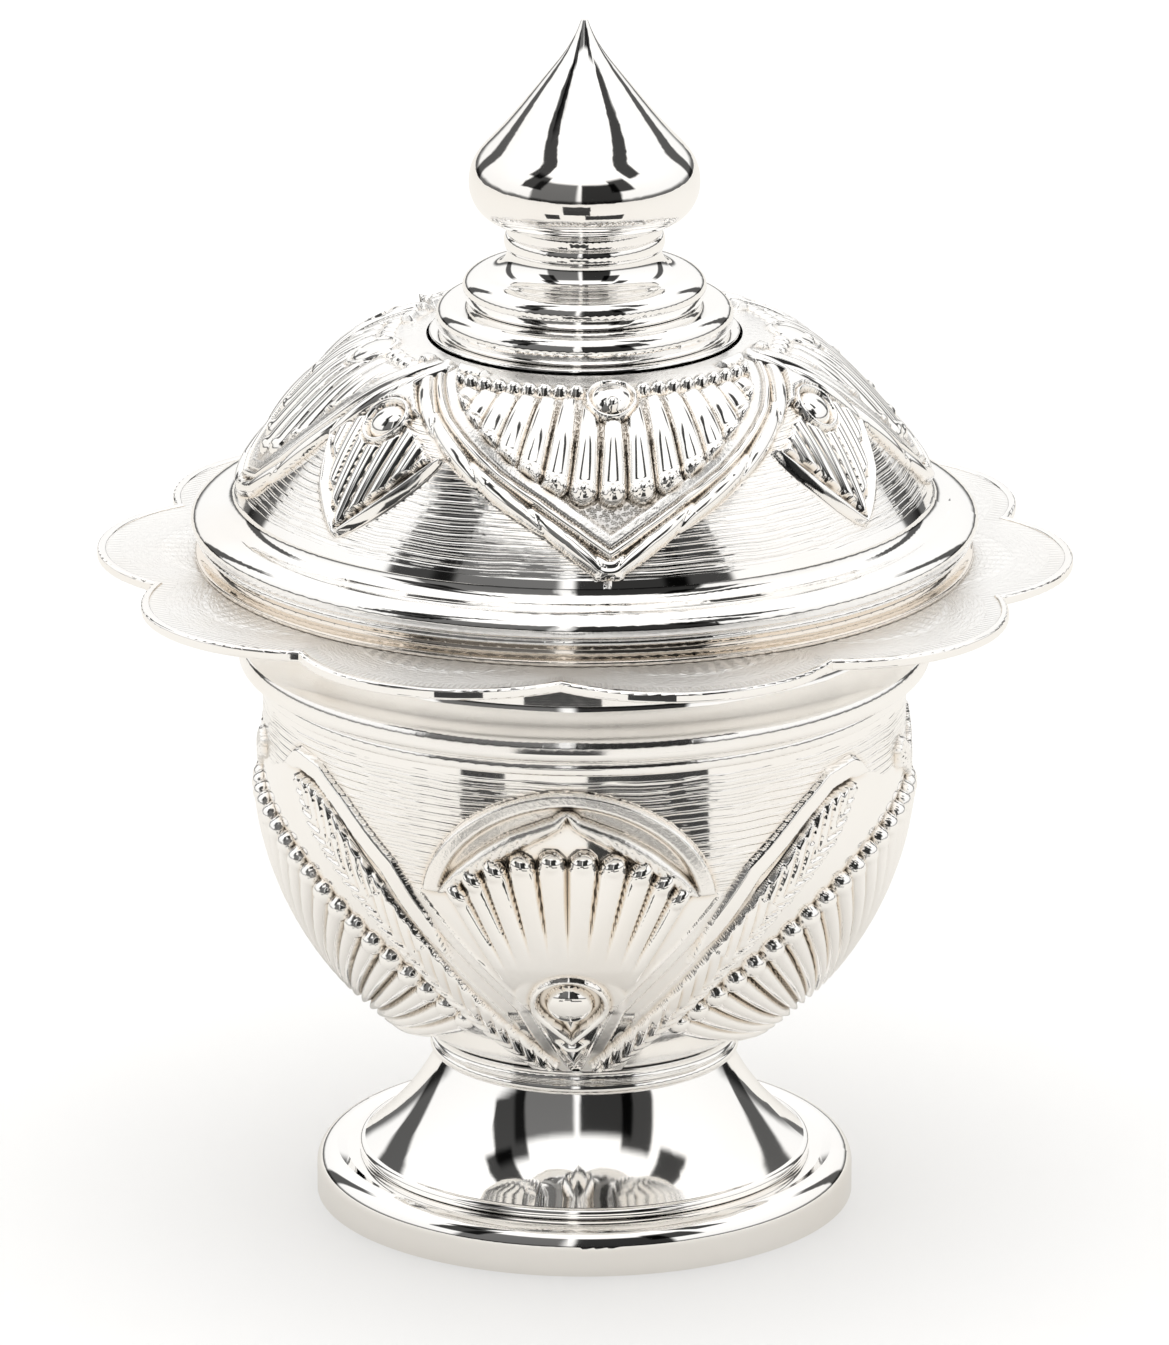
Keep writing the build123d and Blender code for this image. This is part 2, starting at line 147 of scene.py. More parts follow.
@dataclass(frozen=True)
class DomeProfile:
    """Outline of the lid's dome in millimetres, followed from its foot up to the knob.

    Attributes:
        foot_radius: Radius where the dome stands on the rim.
        foot_z: Level of the foot.
        shoulder_radius: Radius where the slope meets the round shoulder.
        shoulder_z: Level there.
        flank: Radius of curvature of the slope.
        crown_radius: Radius of the flat seat of the knob.
        crown_z: Level of that seat.
    """

    foot_radius: float
    foot_z: float
    shoulder_radius: float
    shoulder_z: float
    flank: float
    crown_radius: float
    crown_z: float

    @classmethod
    def from_frame(cls) -> "DomeProfile":
        """Read the dome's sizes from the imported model, with the shoulder's place in proportion to them."""
        low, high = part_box("lid_dome")
        foot_radius, foot_z, crown_z = high[0] / MM, low[2] / MM, high[2] / MM
        shoulder_rise, shoulder_reach, flank, crown_radius = 0.7257, 0.75, 36.0, 11.6
        shoulder_z = foot_z + shoulder_rise * (crown_z - foot_z)
        return cls(foot_radius, foot_z, shoulder_reach * foot_radius, shoulder_z, flank, crown_radius, crown_z)

    def outline(self) -> tuple[np.ndarray, np.ndarray, np.ndarray]:
        """Work out the two arcs of the outline.

        Returns:
            Length along the outline, radius and level at close steps.
        """
        foot = np.array([self.foot_radius, self.foot_z])
        shoulder = np.array([self.shoulder_radius, self.shoulder_z])
        crown = np.array([self.crown_radius, self.crown_z])
        flank = self.arc(foot, shoulder, self.flank)
        heading = flank[-1] - flank[-2]
        chord = crown - shoulder
        turn = abs(math.atan2(chord[1], chord[0]) - math.atan2(heading[1], heading[0]))
        cap = self.arc(shoulder, crown, float(np.hypot(*chord)) / (2.0 * math.sin(turn)))
        points = np.vstack([flank, cap[1:]])
        steps = np.hypot(*np.diff(points, axis=0).T)
        return np.concatenate([[0.0], np.cumsum(steps)]), points[:, 0], points[:, 1]

    @staticmethod
    def arc(start: np.ndarray, end: np.ndarray, radius: float, count: int = 60) -> np.ndarray:
        """Draw an arc that bulges outward and upward from start to end.

        Args:
            start: First point, as radius and level.
            end: Last point.
            radius: The arc's radius.
            count: Number of points.

        Returns:
            The points, one in each row.
        """
        chord = end - start
        length = float(np.hypot(*chord))
        side = np.array([-chord[1], chord[0]]) / length
        centre = (start + end) / 2.0 + side * math.sqrt(radius**2 - length**2 / 4.0)
        first = math.atan2(*(start - centre)[::-1])
        last = math.atan2(*(end - centre)[::-1])
        angles = np.linspace(first, last, count)
        return centre + radius * np.column_stack([np.cos(angles), np.sin(angles)])

    def length(self) -> float:
        """Length of the outline from the foot to the knob's seat."""
        return float(self.outline()[0][-1])

    def place(self, course: np.ndarray) -> tuple[np.ndarray, np.ndarray, np.ndarray, np.ndarray]:
        """Find the outline's points and outward normals.

        Args:
            course: Lengths along the outline from the foot.

        Returns:
            Radius, level, and the outward normal's radial and vertical parts.
        """
        lengths, radii, levels = self.outline()
        radius = np.interp(course, lengths, radii)
        level = np.interp(course, lengths, levels)
        out = np.interp(course, lengths, np.gradient(levels, lengths))
        up = -np.interp(course, lengths, np.gradient(radii, lengths))
        size = np.hypot(out, up)
        return radius, level, out / size, up / size


# The ornament as heights over a grid of angle and length


class Relief:
    """Heights and surface masks of the ornament over a grid.

    Attributes:
        angle: Degrees round the axis from the middle of the motif.
        course: Length along the outline in millimetres.
        around: Millimetres round the axis for one degree, at each point.
        height: Height over the plain surface, in millimetres.
        lines: Where the engraved background lines show, from 0 to 1.
        stipple: Where the punched ground shows, from 0 to 1.
        matte: Where the surface is frosted, from 0 to 1.
    """

    def __init__(self, angle: np.ndarray, course: np.ndarray, radius: np.ndarray) -> None:
        self.angle = angle
        self.course = course
        self.around = radius * math.pi / 180.0
        self.height = np.zeros_like(angle)
        self.lines = np.ones_like(angle)
        self.stipple = np.zeros_like(angle)
        self.matte = np.zeros_like(angle)

    def raise_to(self, height: np.ndarray) -> None:
        """Lift the surface to a height where it lies lower."""
        self.height = np.maximum(self.height, height)

    def plain(self, where: np.ndarray) -> None:
        """Take the background lines away where the mask is 1."""
        self.lines = self.lines * (1.0 - where)

    def press_to(self, height: float | np.ndarray, where: np.ndarray) -> None:
        """Set the surface to a height where the mask is true."""
        self.height = np.where(where, height, self.height)

    def flatten(self, where: np.ndarray) -> None:
        """Take the height away where the mask is 1."""
        self.height = self.height * (1.0 - where)

    def frost(self, where: np.ndarray) -> None:
        """Frost the surface at least as far as the mask says."""
        self.matte = np.maximum(self.matte, where)

    def polish(self, where: np.ndarray) -> None:
        """Take the frosting away where the mask is 1."""
        self.matte = self.matte * (1.0 - where)

    def unpunch(self, where: np.ndarray) -> None:
        """Take the punched ground away where the mask is 1."""
        self.stipple = self.stipple * (1.0 - where)

    def along(self, path: Path) -> tuple[np.ndarray, np.ndarray, float]:
        """Measure the grid against a path.

        Args:
            path: Points of angle and course.

        Returns:
            Distance from the path, positive on its left; length along it; its whole length.
        """
        best = np.full_like(self.angle, 1e9)
        signed = np.zeros_like(self.angle)
        travelled = np.zeros_like(self.angle)
        gone = 0.0
        for (angle_a, course_a), (angle_b, course_b) in zip(path[:-1], path[1:]):
            ax = (self.angle - angle_a) * self.around
            ay = self.course - course_a
            bx = (angle_b - angle_a) * self.around
            by = course_b - course_a
            square = bx * bx + by * by
            share = np.clip((ax * bx + ay * by) / square, 0.0, 1.0)
            dx, dy = ax - share * bx, ay - share * by
            distance = np.hypot(dx, dy)
            nearer = distance < best
            side = np.sign(bx * ay - by * ax)
            best = np.where(nearer, distance, best)
            signed = np.where(nearer, side * distance, signed)
            travelled = np.where(nearer, gone + share * np.sqrt(square), travelled)
            gone += float(np.mean(np.sqrt(square)[nearer])) if nearer.any() else 0.0
        return signed, travelled, gone

    def spot(self, angle: float, course: float) -> tuple[np.ndarray, np.ndarray]:
        """Give the grid's offsets in millimetres from a point, round the axis and along the outline."""
        return (self.angle - angle) * self.around, self.course - course

    def feather(
        self, path: Path, upper: float, lower: float, height: float, pitch: float
    ) -> None:
        """Raise a feather: slanting barbs on both sides of a fine spine, pointing to its tip.

        Args:
            path: Spine of the feather, from its tip.
            upper: Width of the barbs on the path's left, in millimetres.
            lower: Width of the barbs on its right.
            height: Height of the barbs.
            pitch: Distance between the barbs on the left, along the spine.
        """
        offset, travelled, whole = self.along(path)
        share = np.clip(travelled / whole, 0.0, 1.0)
        left = offset > 0.0
        taper = np.sqrt(smooth(-0.01, 0.16, share)) * (1.0 - 0.5 * share)
        width = np.where(left, upper, lower) * np.maximum(taper, 0.05)
        aside = np.abs(offset) / width
        inside = smooth(1.04, 0.94, aside)
        turn = (travelled + 1.6 * np.abs(offset)) / np.where(left, pitch, pitch * 0.75)
        barbs = np.abs(np.sin(math.pi * turn)) ** 0.55
        swell = 0.45 + 0.55 * half_round(aside - 0.4, 0.75)
        spine = 0.75 * height * half_round(offset, 0.2)
        self.raise_to(np.maximum(height * swell * (0.5 + 0.5 * barbs), spine) * inside)
        self.plain(inside)


@dataclass(frozen=True)
class Fan:
    """Rods that radiate from a pivot on the ball, each with a ball at its head.

    Attributes:
        pivot: Angle and course of the pivot.
        reach: Arc from the pivot to the heads, in degrees.
        foot: Arc from the pivot to the rods' inner ends, in degrees.
        pitch: Angle between rods at the pivot, in degrees.
        rods: Rods on one side of the fan's middle line.
        centred: True if one more rod lies on the middle line.
        head_radius: Radius of the balls, in millimetres.
        height: Height of the rods, in millimetres.
    """

    pivot: tuple[float, float]
    reach: float
    foot: float
    pitch: float
    rods: int
    centred: bool
    head_radius: float
    height: float

    def polar(self, relief: Relief, profile: BowlProfile) -> tuple[np.ndarray, np.ndarray]:
        """Arc from the pivot, in degrees, and bearing off the middle line, in degrees without sign."""
        turn = np.radians(relief.angle - self.pivot[0])
        low = profile.latitude(relief.course)
        pivot_low = float(profile.latitude(np.array(self.pivot[1])))
        side = np.cos(low) * np.sin(turn)
        up = math.sin(pivot_low) * np.cos(low) * np.cos(turn) - math.cos(pivot_low) * np.sin(low)
        toward = math.cos(pivot_low) * np.cos(low) * np.cos(turn) + math.sin(pivot_low) * np.sin(low)
        arc = np.degrees(np.arccos(np.clip(toward, -1.0, 1.0)))
        return arc, np.abs(np.degrees(np.arctan2(side, up)))

    def raise_on(self, relief: Relief, profile: BowlProfile) -> np.ndarray:
        """Raise the fan on the relief and return the arc from its pivot."""
        arc, bearing = self.polar(relief, profile)
        shift = 0.0 if self.centred else 0.5
        index = np.clip(np.round(bearing / self.pitch - shift), 0, self.rods - 1)
        aside = np.radians(bearing - (index + shift) * self.pitch) * np.sin(np.radians(arc)) * profile.radius
        room = math.radians(self.pitch) / 2.0 * np.sin(np.radians(arc)) * profile.radius
        on_rod = smooth(self.foot, self.foot + 2.0, arc) * smooth(self.reach + 0.5, self.reach - 0.5, arc)
        rod = self.height * half_round(aside, room * 0.93) * on_rod
        outward = np.radians(arc - self.reach) * profile.radius
        ball = half_round(np.hypot(aside, outward), self.head_radius) * self.head_radius
        relief.raise_to(np.maximum(rod, ball))
        inside = smooth(self.foot - 1.0, self.foot, arc) * smooth(self.reach + 3.0, self.reach + 2.0, arc)
        spread = (self.rods - 1 + shift) * self.pitch
        inside = inside * smooth(spread + self.pitch * 0.75, spread + self.pitch * 0.55, bearing)
        relief.plain(np.maximum(inside, smooth(1.05, 0.95, np.hypot(aside, outward) / self.head_radius)))
        return arc


@dataclass(frozen=True)
class BowlOrnament:
    """The bowl's ornament: two fans, two palmettes and the feathers between them, mirrored about each.

    Paths give degrees from the middle of a fan and millimetres down the bowl. Levels are millimetres down.

    Attributes:
        palmette: Rods of the palmette.
        leaf_path: Spine of the leaves over the palmette.
        feather_path: Spine of the feather, from its tip.
        border_path: Smooth band over the feather.
        channel_path: Channel between the feather and the palmette.
        edge_path: Side edge of the fan's field.
        ogee_path: Barbed ogee under the arch, from its apex.
        arch_foot: Level of the arch's ends.
        arch_reach: Half the arch's span, in millimetres.
        arch_rise: Height of the arch over its ends.
        arch_power: Squareness of the arch, where 2 is an ellipse.
        rods: Rods on one side of the fan's middle line.
        rod_pitch: Degrees between them at the level rod_level.
        rod_level: Level at which the fan has its full width.
        narrowing: Share of its width that the fan loses for each millimetre down.
        head_radius: Radius of the rods' ball heads.
        boss_level: Level of the boss's centre.
        boss_radius: Radius of the drop's round end.
        boss_point: Distance from its centre to its point.
        pearl_radius: Radius of the pearl in the boss.
        pearl_height: Height of the pearl.
        end_level: Level at which the ornament has ended.
    """

    palmette: Fan = Fan((90.0, 27.0), 46.0, 14.0, 6.0, 18, True, 0.95, 0.85)
    leaf_path: Path = ((77.0, 3.6), (83.0, 4.6), (90.0, 6.6))
    feather_path: Path = ((57.5, 3.8), (47.5, 7.8), (38.7, 11.3), (31.0, 15.2), (22.5, 20.3), (9.5, 28.3))
    border_path: Path = (
        (63.0, 3.4), (57.0, 2.4), (51.0, 2.8), (44.5, 4.6), (34.0, 8.3), (27.5, 12.3), (23.0, 15.5),
    )
    channel_path: Path = (
        (81.0, 4.9), (62.0, 7.9), (55.0, 9.0), (47.5, 10.8), (35.7, 14.3), (24.0, 19.4), (17.0, 23.6),
    )
    edge_path: Path = ((26.9, 9.9), (17.3, 15.0), (8.2, 19.8), (5.7, 23.3), (0.6, 30.6))
    ogee_path: Path = ((0.2, 2.8), (2.0, 3.6), (5.0, 4.2), (9.5, 5.1), (14.0, 6.3), (18.5, 7.8), (23.5, 9.7))
    arch_foot: float = 9.85
    arch_reach: float = 11.05
    arch_rise: float = 8.7
    arch_power: float = 1.8
    rods: int = 5
    rod_pitch: float = 5.25
    rod_level: float = 7.5
    narrowing: float = 0.049
    head_radius: float = 0.98
    boss_level: float = 18.95
    boss_radius: float = 2.9
    boss_point: float = 5.15
    pearl_radius: float = 1.75
    pearl_height: float = 1.3
    end_level: float = 33.0

    def carve(self, relief: Relief, profile: BowlProfile) -> None:
        """Raise the whole ornament on a quarter of the bowl.

        Args:
            relief: Grid from the middle of a fan (0) to the middle of a palmette (90 degrees).
            profile: The bowl's outline.
        """
        self.carve_palmette(relief, profile)
        self.carve_feather(relief)
        self.carve_ribbon(relief)
        self.carve_arch(relief)
        self.carve_fan(relief)
        self.carve_boss(relief)
        edge = smooth(0.0, 0.5, relief.course) * smooth(self.end_level, self.end_level - 2.5, relief.course)
        relief.height = relief.height * edge
        relief.plain(smooth(0.75, 0.35, relief.course))
        relief.plain(smooth(25.0, 27.0, relief.course))

    def carve_palmette(self, relief: Relief, profile: BowlProfile) -> None:
        """Raise the palmette with the leaves over it."""
        arc = self.palmette.raise_on(relief, profile)
        rim = self.palmette.reach + 2.0
        relief.frost(smooth(rim + 0.5, rim - 0.5, arc) * 0.3)
        relief.feather(self.leaf_path, 1.3, 1.3, 0.5, 1.0)

    def carve_feather(self, relief: Relief) -> None:
        """Raise the feather, its smooth border and the channel below it."""
        offset, travelled, whole = relief.along(self.border_path)
        width = 0.75 * smooth(1.02, 0.8, travelled / whole) * smooth(-0.02, 0.12, travelled / whole)
        border = smooth(1.15, 0.8, np.abs(offset) / np.maximum(width, 0.05))
        relief.raise_to(0.42 * border)
        relief.plain(np.maximum(border, smooth(0.2, -0.3, offset)))
        relief.feather(self.feather_path, 2.35, 1.3, 0.75, 1.5)
        offset, travelled, whole = relief.along(self.channel_path)
        channel = smooth(0.75, 0.1, np.abs(offset)) * smooth(0.0, 0.1, travelled / whole)
        relief.plain(smooth(1.5, 1.2, np.abs(offset)))
        relief.height = relief.height - 0.4 * channel * (relief.height < 0.3)

    def carve_ribbon(self, relief: Relief) -> None:
        """Raise the brushed ribbon between the feather and the fan, and clear the fan's field."""
        offset, _, _ = relief.along(self.edge_path)
        free = (relief.height < 0.12) * smooth(9.4, 10.2, relief.course)
        outer = smooth(3.4, 3.2, -offset) * smooth(2.25, 2.35, -offset)
        inner = smooth(1.2, 1.1, -offset) * smooth(0.2, 0.35, -offset)
        relief.frost((outer + inner) * free)
        relief.raise_to(0.12 * (outer + inner) * free)
        relief.plain(smooth(3.6, 3.4, -offset) * smooth(0.1, 0.3, -offset) * smooth(9.4, 9.9, relief.course))
        field = self.within(relief)
        relief.press_to(0.0, field > 0.5)
        relief.polish(field)
        relief.plain(field)
        rim = 0.32
        relief.raise_to(0.42 * half_round(offset, rim))
        relief.plain(smooth(rim * 1.1, rim * 0.8, np.abs(offset)))

    def within(self, relief: Relief) -> np.ndarray:
        """Mask of the field between the two ribbons and under the arch."""
        reach = [angle for angle, _ in self.edge_path]
        level = [course for _, course in self.edge_path]
        width = np.interp(relief.course, [1.0, 4.0] + level, [0.0, 19.0] + reach)
        return smooth(0.4, 0.0, (relief.angle - width) * relief.around) * smooth(0.9, 1.4, relief.course)

    def carve_arch(self, relief: Relief) -> None:
        """Raise the smooth arch and the barbed ogee over the fan's heads, with a bright hollow below."""
        aside, down = relief.spot(0.0, self.arch_foot)
        wide, tall = np.abs(aside) / self.arch_reach, np.clip(-down, 0.0, None) / self.arch_rise
        ring = (wide**self.arch_power + tall**self.arch_power) ** (1.0 / self.arch_power)
        upper = smooth(0.25, -0.25, down)
        relief.raise_to(0.5 * smooth(0.86, 0.885, ring) * smooth(1.0, 0.975, ring) * upper)
        relief.frost(smooth(1.0, 0.97, ring) * upper * 0.6)
        relief.plain(smooth(1.01, 0.98, ring) * upper)
        offset, travelled, whole = relief.along(self.ogee_path)
        share = np.clip(travelled / whole, 0.0, 1.0)
        width = 0.12 + 0.6 * np.sqrt(np.clip(4.0 * share * (1.0 - share), 0.0, 1.0))
        under = smooth(0.0, 0.3, offset - width) * upper
        relief.height = relief.height * (1.0 - under) - 0.3 * smooth(0.0, 1.3, offset - width) * under
        relief.polish(under)
        body = 0.7 * half_round(offset, width)
        barbs = np.abs(np.sin(math.pi * (travelled - 1.5 * offset) / 0.9)) ** 0.5
        barbed = smooth(0.2, 0.3, share) * smooth(-0.1, 0.05, offset) * smooth(0.98, 0.9, share)
        relief.raise_to(body * (1.0 - 0.5 * barbed * (1.0 - barbs)))

    def carve_fan(self, relief: Relief) -> None:
        """Raise the rods with their ball heads, which melt into the field over the boss."""
        narrow = np.maximum(1.0 - self.narrowing * (relief.course - self.rod_level), 0.2)
        spread = relief.angle / narrow
        spread = spread + 0.00015 * spread**3
        index = np.clip(np.round(spread / self.rod_pitch - 0.5), 0, self.rods - 1)
        middle = (index + 0.5) * self.rod_pitch
        aside = (spread - middle) * narrow * relief.around
        room = self.rod_pitch / 2.0 * narrow * relief.around
        head = 6.6 + 0.0054 * middle**2
        tail = 14.9 + 0.0043 * spread**2
        below = smooth(-0.2, 0.3, relief.course - head) * self.within(relief)
        deep = smooth(0.0, -5.5, relief.course - tail)
        lift = np.interp(relief.course, [7.0, 15.5, 18.6], [0.9, 0.5, 0.0])
        bar = half_round(aside, room * 1.03)
        gap = smooth(0.8, 1.0, np.abs(aside) / room) * deep
        fan = lift * (1.0 - (1.0 - bar) * deep) - 0.3 * gap
        relief.height = relief.height * (1.0 - below) + fan * below
        ball = half_round(np.hypot(aside, relief.course - head), self.head_radius)
        relief.raise_to(self.head_radius * 1.05 * ball)
        relief.plain(smooth(0.0, 0.1, ball))
        relief.polish(smooth(0.0, 0.1, ball))

    def carve_boss(self, relief: Relief) -> None:
        """Raise the drop-shaped boss: collar, rim, dish, pearl and keel, and the keel below it."""
        aside, down = relief.spot(0.0, self.boss_level)
        size, point = self.boss_radius, self.boss_point
        lean = math.asin(size / point)
        wedge = (point - down) * math.sin(lean) - aside * math.cos(lean)
        inside = np.where(down > size * math.sin(lean), wedge, size - np.hypot(aside, down))
        relief.raise_to(0.28 * half_round(inside + 0.55, 0.65) * smooth(2.2, 0.8, down))
        dish = smooth(0.4, 0.7, inside)
        floor = relief.height * (1.0 - dish) - 0.5 * smooth(0.4, 1.0, inside)
        relief.press_to(floor, inside > 0.0)
        relief.raise_to(0.8 * half_round(inside - 0.26, 0.3))
        keel = (np.interp(down, [1.0, 4.4], [1.3, 0.05]) - aside) * smooth(0.9, 1.4, down)
        relief.raise_to(np.where(inside > 0.5, 0.75 * np.clip(keel, 0.0, 0.9), FAR_DOWN))
        pearl = np.hypot(aside, down - 0.1)
        pin = 0.1 * smooth(0.16, 0.06, pearl)
        relief.raise_to(self.pearl_height * half_round(pearl, self.pearl_radius) + pin)
        below = np.interp(relief.course, [24.3, 27.0, 30.4], [1.4, 0.85, 0.02]) - aside
        relief.raise_to(0.75 * np.clip(below, 0.0, 1.0) * smooth(24.2, 24.6, relief.course))
        relief.raise_to(0.3 * half_round(np.hypot(*relief.spot(9.2, 19.2)), 0.32))


@dataclass(frozen=True)
class DomeOrnament:
    """The lid's ornament: wide V bands front and back, narrow ones at the sides, and tulips between.

    Paths give degrees from the middle of a wide V and millimetres up the dome. Levels are millimetres up.

    Attributes:
        lean: Degrees that the hand-laid ornament leans for each millimetre up the dome.
        front_arm: Middle of the wide V's band, from its point.
        side_arm: Middle of the narrow V's band, from its point.
        inner_leaf: Lance leaf of the tulip towards the wide V.
        outer_leaf: Lance leaf towards the narrow V.
        front_inside: Level and width in degrees of the field inside the wide V.
        side_inside: The same for the narrow V, as places on the quarter.
        front_tips: Level of each rod's lower end in the wide V, from the middle one.
        side_tips: The same in the narrow V.
        side_lift: Share of the full relief that the narrow V's fan has.
        rod_pitch: Degrees between the rods.
        bulb: Radius of the rods' round ends.
        first_bead: Degrees from a fan's middle to its first bead.
        bead_pitch: Degrees between the beads.
        bead_level: Level of the bead row.
        bead: Radius of the beads.
        boss_level: Level of the oval boss over a fan.
        stone: Place of the tulip's stone.
        calyx: Half the width of the calyx over the stone.
        score_level: Level of the line scored round the foot.
    """

    lean: float = 0.22
    front_arm: Path = ((0.2, 2.2), (6.3, 4.0), (13.8, 6.0), (23.0, 8.0), (39.5, 12.0), (56.5, 17.0))
    side_arm: Path = ((89.5, 1.6), (82.0, 2.4), (77.0, 4.6), (71.0, 8.4), (64.5, 12.6), (57.5, 16.9))
    inner_leaf: Path = ((50.6, 1.7), (43.5, 5.0), (36.0, 8.8))
    outer_leaf: Path = ((50.6, 1.7), (59.5, 4.9), (66.5, 8.6))
    front_inside: Path = ((3.0, 0.0), (4.0, 2.5), (6.0, 8.2), (8.0, 15.6), (12.0, 34.6), (16.0, 50.4))
    side_inside: Path = ((1.6, 89.5), (4.6, 79.5), (8.4, 73.5), (12.6, 67.0), (16.9, 60.0))
    front_tips: tuple[float, ...] = (7.1, 7.25, 7.75, 8.55, 9.5, 10.8, 12.0, 13.4)
    side_tips: tuple[float, ...] = (4.6, 5.4, 7.0, 9.9, 13.2)
    side_lift: float = 0.45
    rod_pitch: float = 5.55
    bulb: float = 1.02
    first_bead: float = 9.6
    bead_pitch: float = 4.6
    bead_level: float = 16.3
    bead: float = 0.6
    boss_level: float = 15.1
    stone: tuple[float, float] = (54.0, 10.85)
    calyx: float = 3.4
    score_level: float = 1.5

    def carve(self, relief: Relief) -> None:
        """Raise the whole ornament on a quarter of the dome.

        Args:
            relief: Grid from the middle of a fan (0) to the middle of a side (90 degrees).
        """
        self.carve_tulip(relief)
        front = np.interp(relief.course, *zip(*self.front_inside))
        side = SIDE - np.interp(relief.course, *zip(*self.side_inside))
        self.carve_fan(relief, relief.angle, front, self.front_tips, 1.0)
        self.carve_fan(relief, SIDE - relief.angle, side, self.side_tips, self.side_lift)
        self.carve_arm(relief, self.front_arm, 1.0)
        self.carve_arm(relief, self.side_arm, -1.0)
        self.carve_mark(relief)
        relief.height = relief.height * smooth(0.2, 0.7, relief.course) * smooth(18.2, 17.6, relief.course)
        relief.plain(smooth(16.8, 17.1, relief.course))
        relief.frost(smooth(17.0, 17.4, relief.course) * 0.7)
        relief.plain(smooth(0.9, 0.6, relief.course))

    def carve_arm(self, relief: Relief, path: Path, side: float) -> None:
        """Raise one arm of a V: a strand of long leaves outside, a wire and a smooth margin inside.

        Args:
            relief: The grid.
            path: Middle of the arm, from the V's point.
            side: 1 if the inside of the V lies on the path's left, otherwise -1.
        """
        offset, travelled, _ = relief.along(path)
        across = offset * side
        band = smooth(-1.6, -1.5, across) * smooth(1.5, 1.4, across)
        relief.press_to(-0.1, band > 0.5)
        relief.plain(band)
        relief.unpunch(band)
        leaf_length, slant, strand, wire = 5.6, 2.2, -0.8, 0.25
        turn = (travelled - slant * (across - strand)) / leaf_length
        joint = np.abs(np.sin(math.pi * turn)) ** 0.5
        wide = 0.45 + 0.25 * joint
        relief.raise_to(0.7 * half_round(across - strand, wide) * (0.45 + 0.55 * joint))
        relief.raise_to(0.5 * half_round(across - wire, 0.3))
        margin = smooth(0.58, 0.68, across) * smooth(1.5, 1.38, across)
        relief.raise_to(0.3 * margin)
        relief.frost(margin * 0.5)

    def carve_fan(
        self, relief: Relief, turned: np.ndarray, width: np.ndarray, tips: tuple[float, ...], lift: float
    ) -> None:
        """Raise the rods that hang from the bead row, the beads and the oval boss, over punched ground.

        Args:
            relief: The grid.
            turned: Degrees from the fan's middle.
            width: Degrees from its middle to the inside of its V.
            tips: Level of each rod's lower end, from the middle one.
            lift: Share of the full relief.
        """
        inside = smooth(0.3, 0.0, (turned - width) * relief.around) * smooth(17.0, 16.8, relief.course)
        relief.press_to(0.0, inside > 0.5)
        relief.plain(inside)
        relief.stipple = np.maximum(relief.stipple, inside)
        index = np.clip(np.round(turned / self.rod_pitch), 0, len(tips) - 1)
        middle = index * self.rod_pitch
        tip = np.interp(index, np.arange(len(tips)), tips)
        aside = (turned - middle) * relief.around
        up = relief.course - tip
        room = self.rod_pitch * 0.485 * relief.around
        half = np.minimum(np.interp(up, [0.0, 8.5], [self.bulb, 0.5]), room)
        rod = 0.95 * half * half_round(aside, half)
        rod = rod * smooth(-0.05, 0.1, up) * smooth(15.5, 15.0, relief.course)
        bulb = half_round(np.hypot(aside, up), self.bulb)
        pip = half_round(np.hypot(aside, up + 0.1), 0.42)
        height = np.maximum(rod, 1.1 * bulb) + 0.22 * pip
        relief.raise_to(height * inside * lift)
        relief.unpunch(height >= 0.05)
        self.carve_beads(relief, turned, inside, lift)

    def carve_beads(self, relief: Relief, turned: np.ndarray, inside: np.ndarray, lift: float) -> None:
        """Raise the bead row over a fan and the oval boss in its middle."""
        past = turned - self.first_bead
        index = np.clip(np.round(past / self.bead_pitch), 0, 8)
        aside, up = (past - index * self.bead_pitch) * relief.around, relief.course - self.bead_level
        reach = np.hypot(aside, up)
        rail = smooth(0.95, 0.75, np.abs(up)) * inside
        relief.flatten(rail)
        relief.height = relief.height - 0.2 * smooth(0.85, 0.65, reach) * inside
        relief.raise_to(np.where(inside > 0.5, 0.68 * lift * half_round(reach, self.bead), FAR_DOWN))
        relief.unpunch(rail)
        aside, up = turned * relief.around, relief.course - self.boss_level
        oval = np.hypot(aside / 1.9, up / 2.15)
        relief.press_to(-0.15, oval < 1.08)
        relief.raise_to(0.65 * lift * half_round(oval - 0.9, 0.11))
        relief.raise_to(1.1 * lift * half_round(oval, 0.8))
        relief.height = relief.height + 0.3 * lift * half_round(np.hypot(aside, up + 1.0), 0.4)
        relief.unpunch(oval <= 1.05)

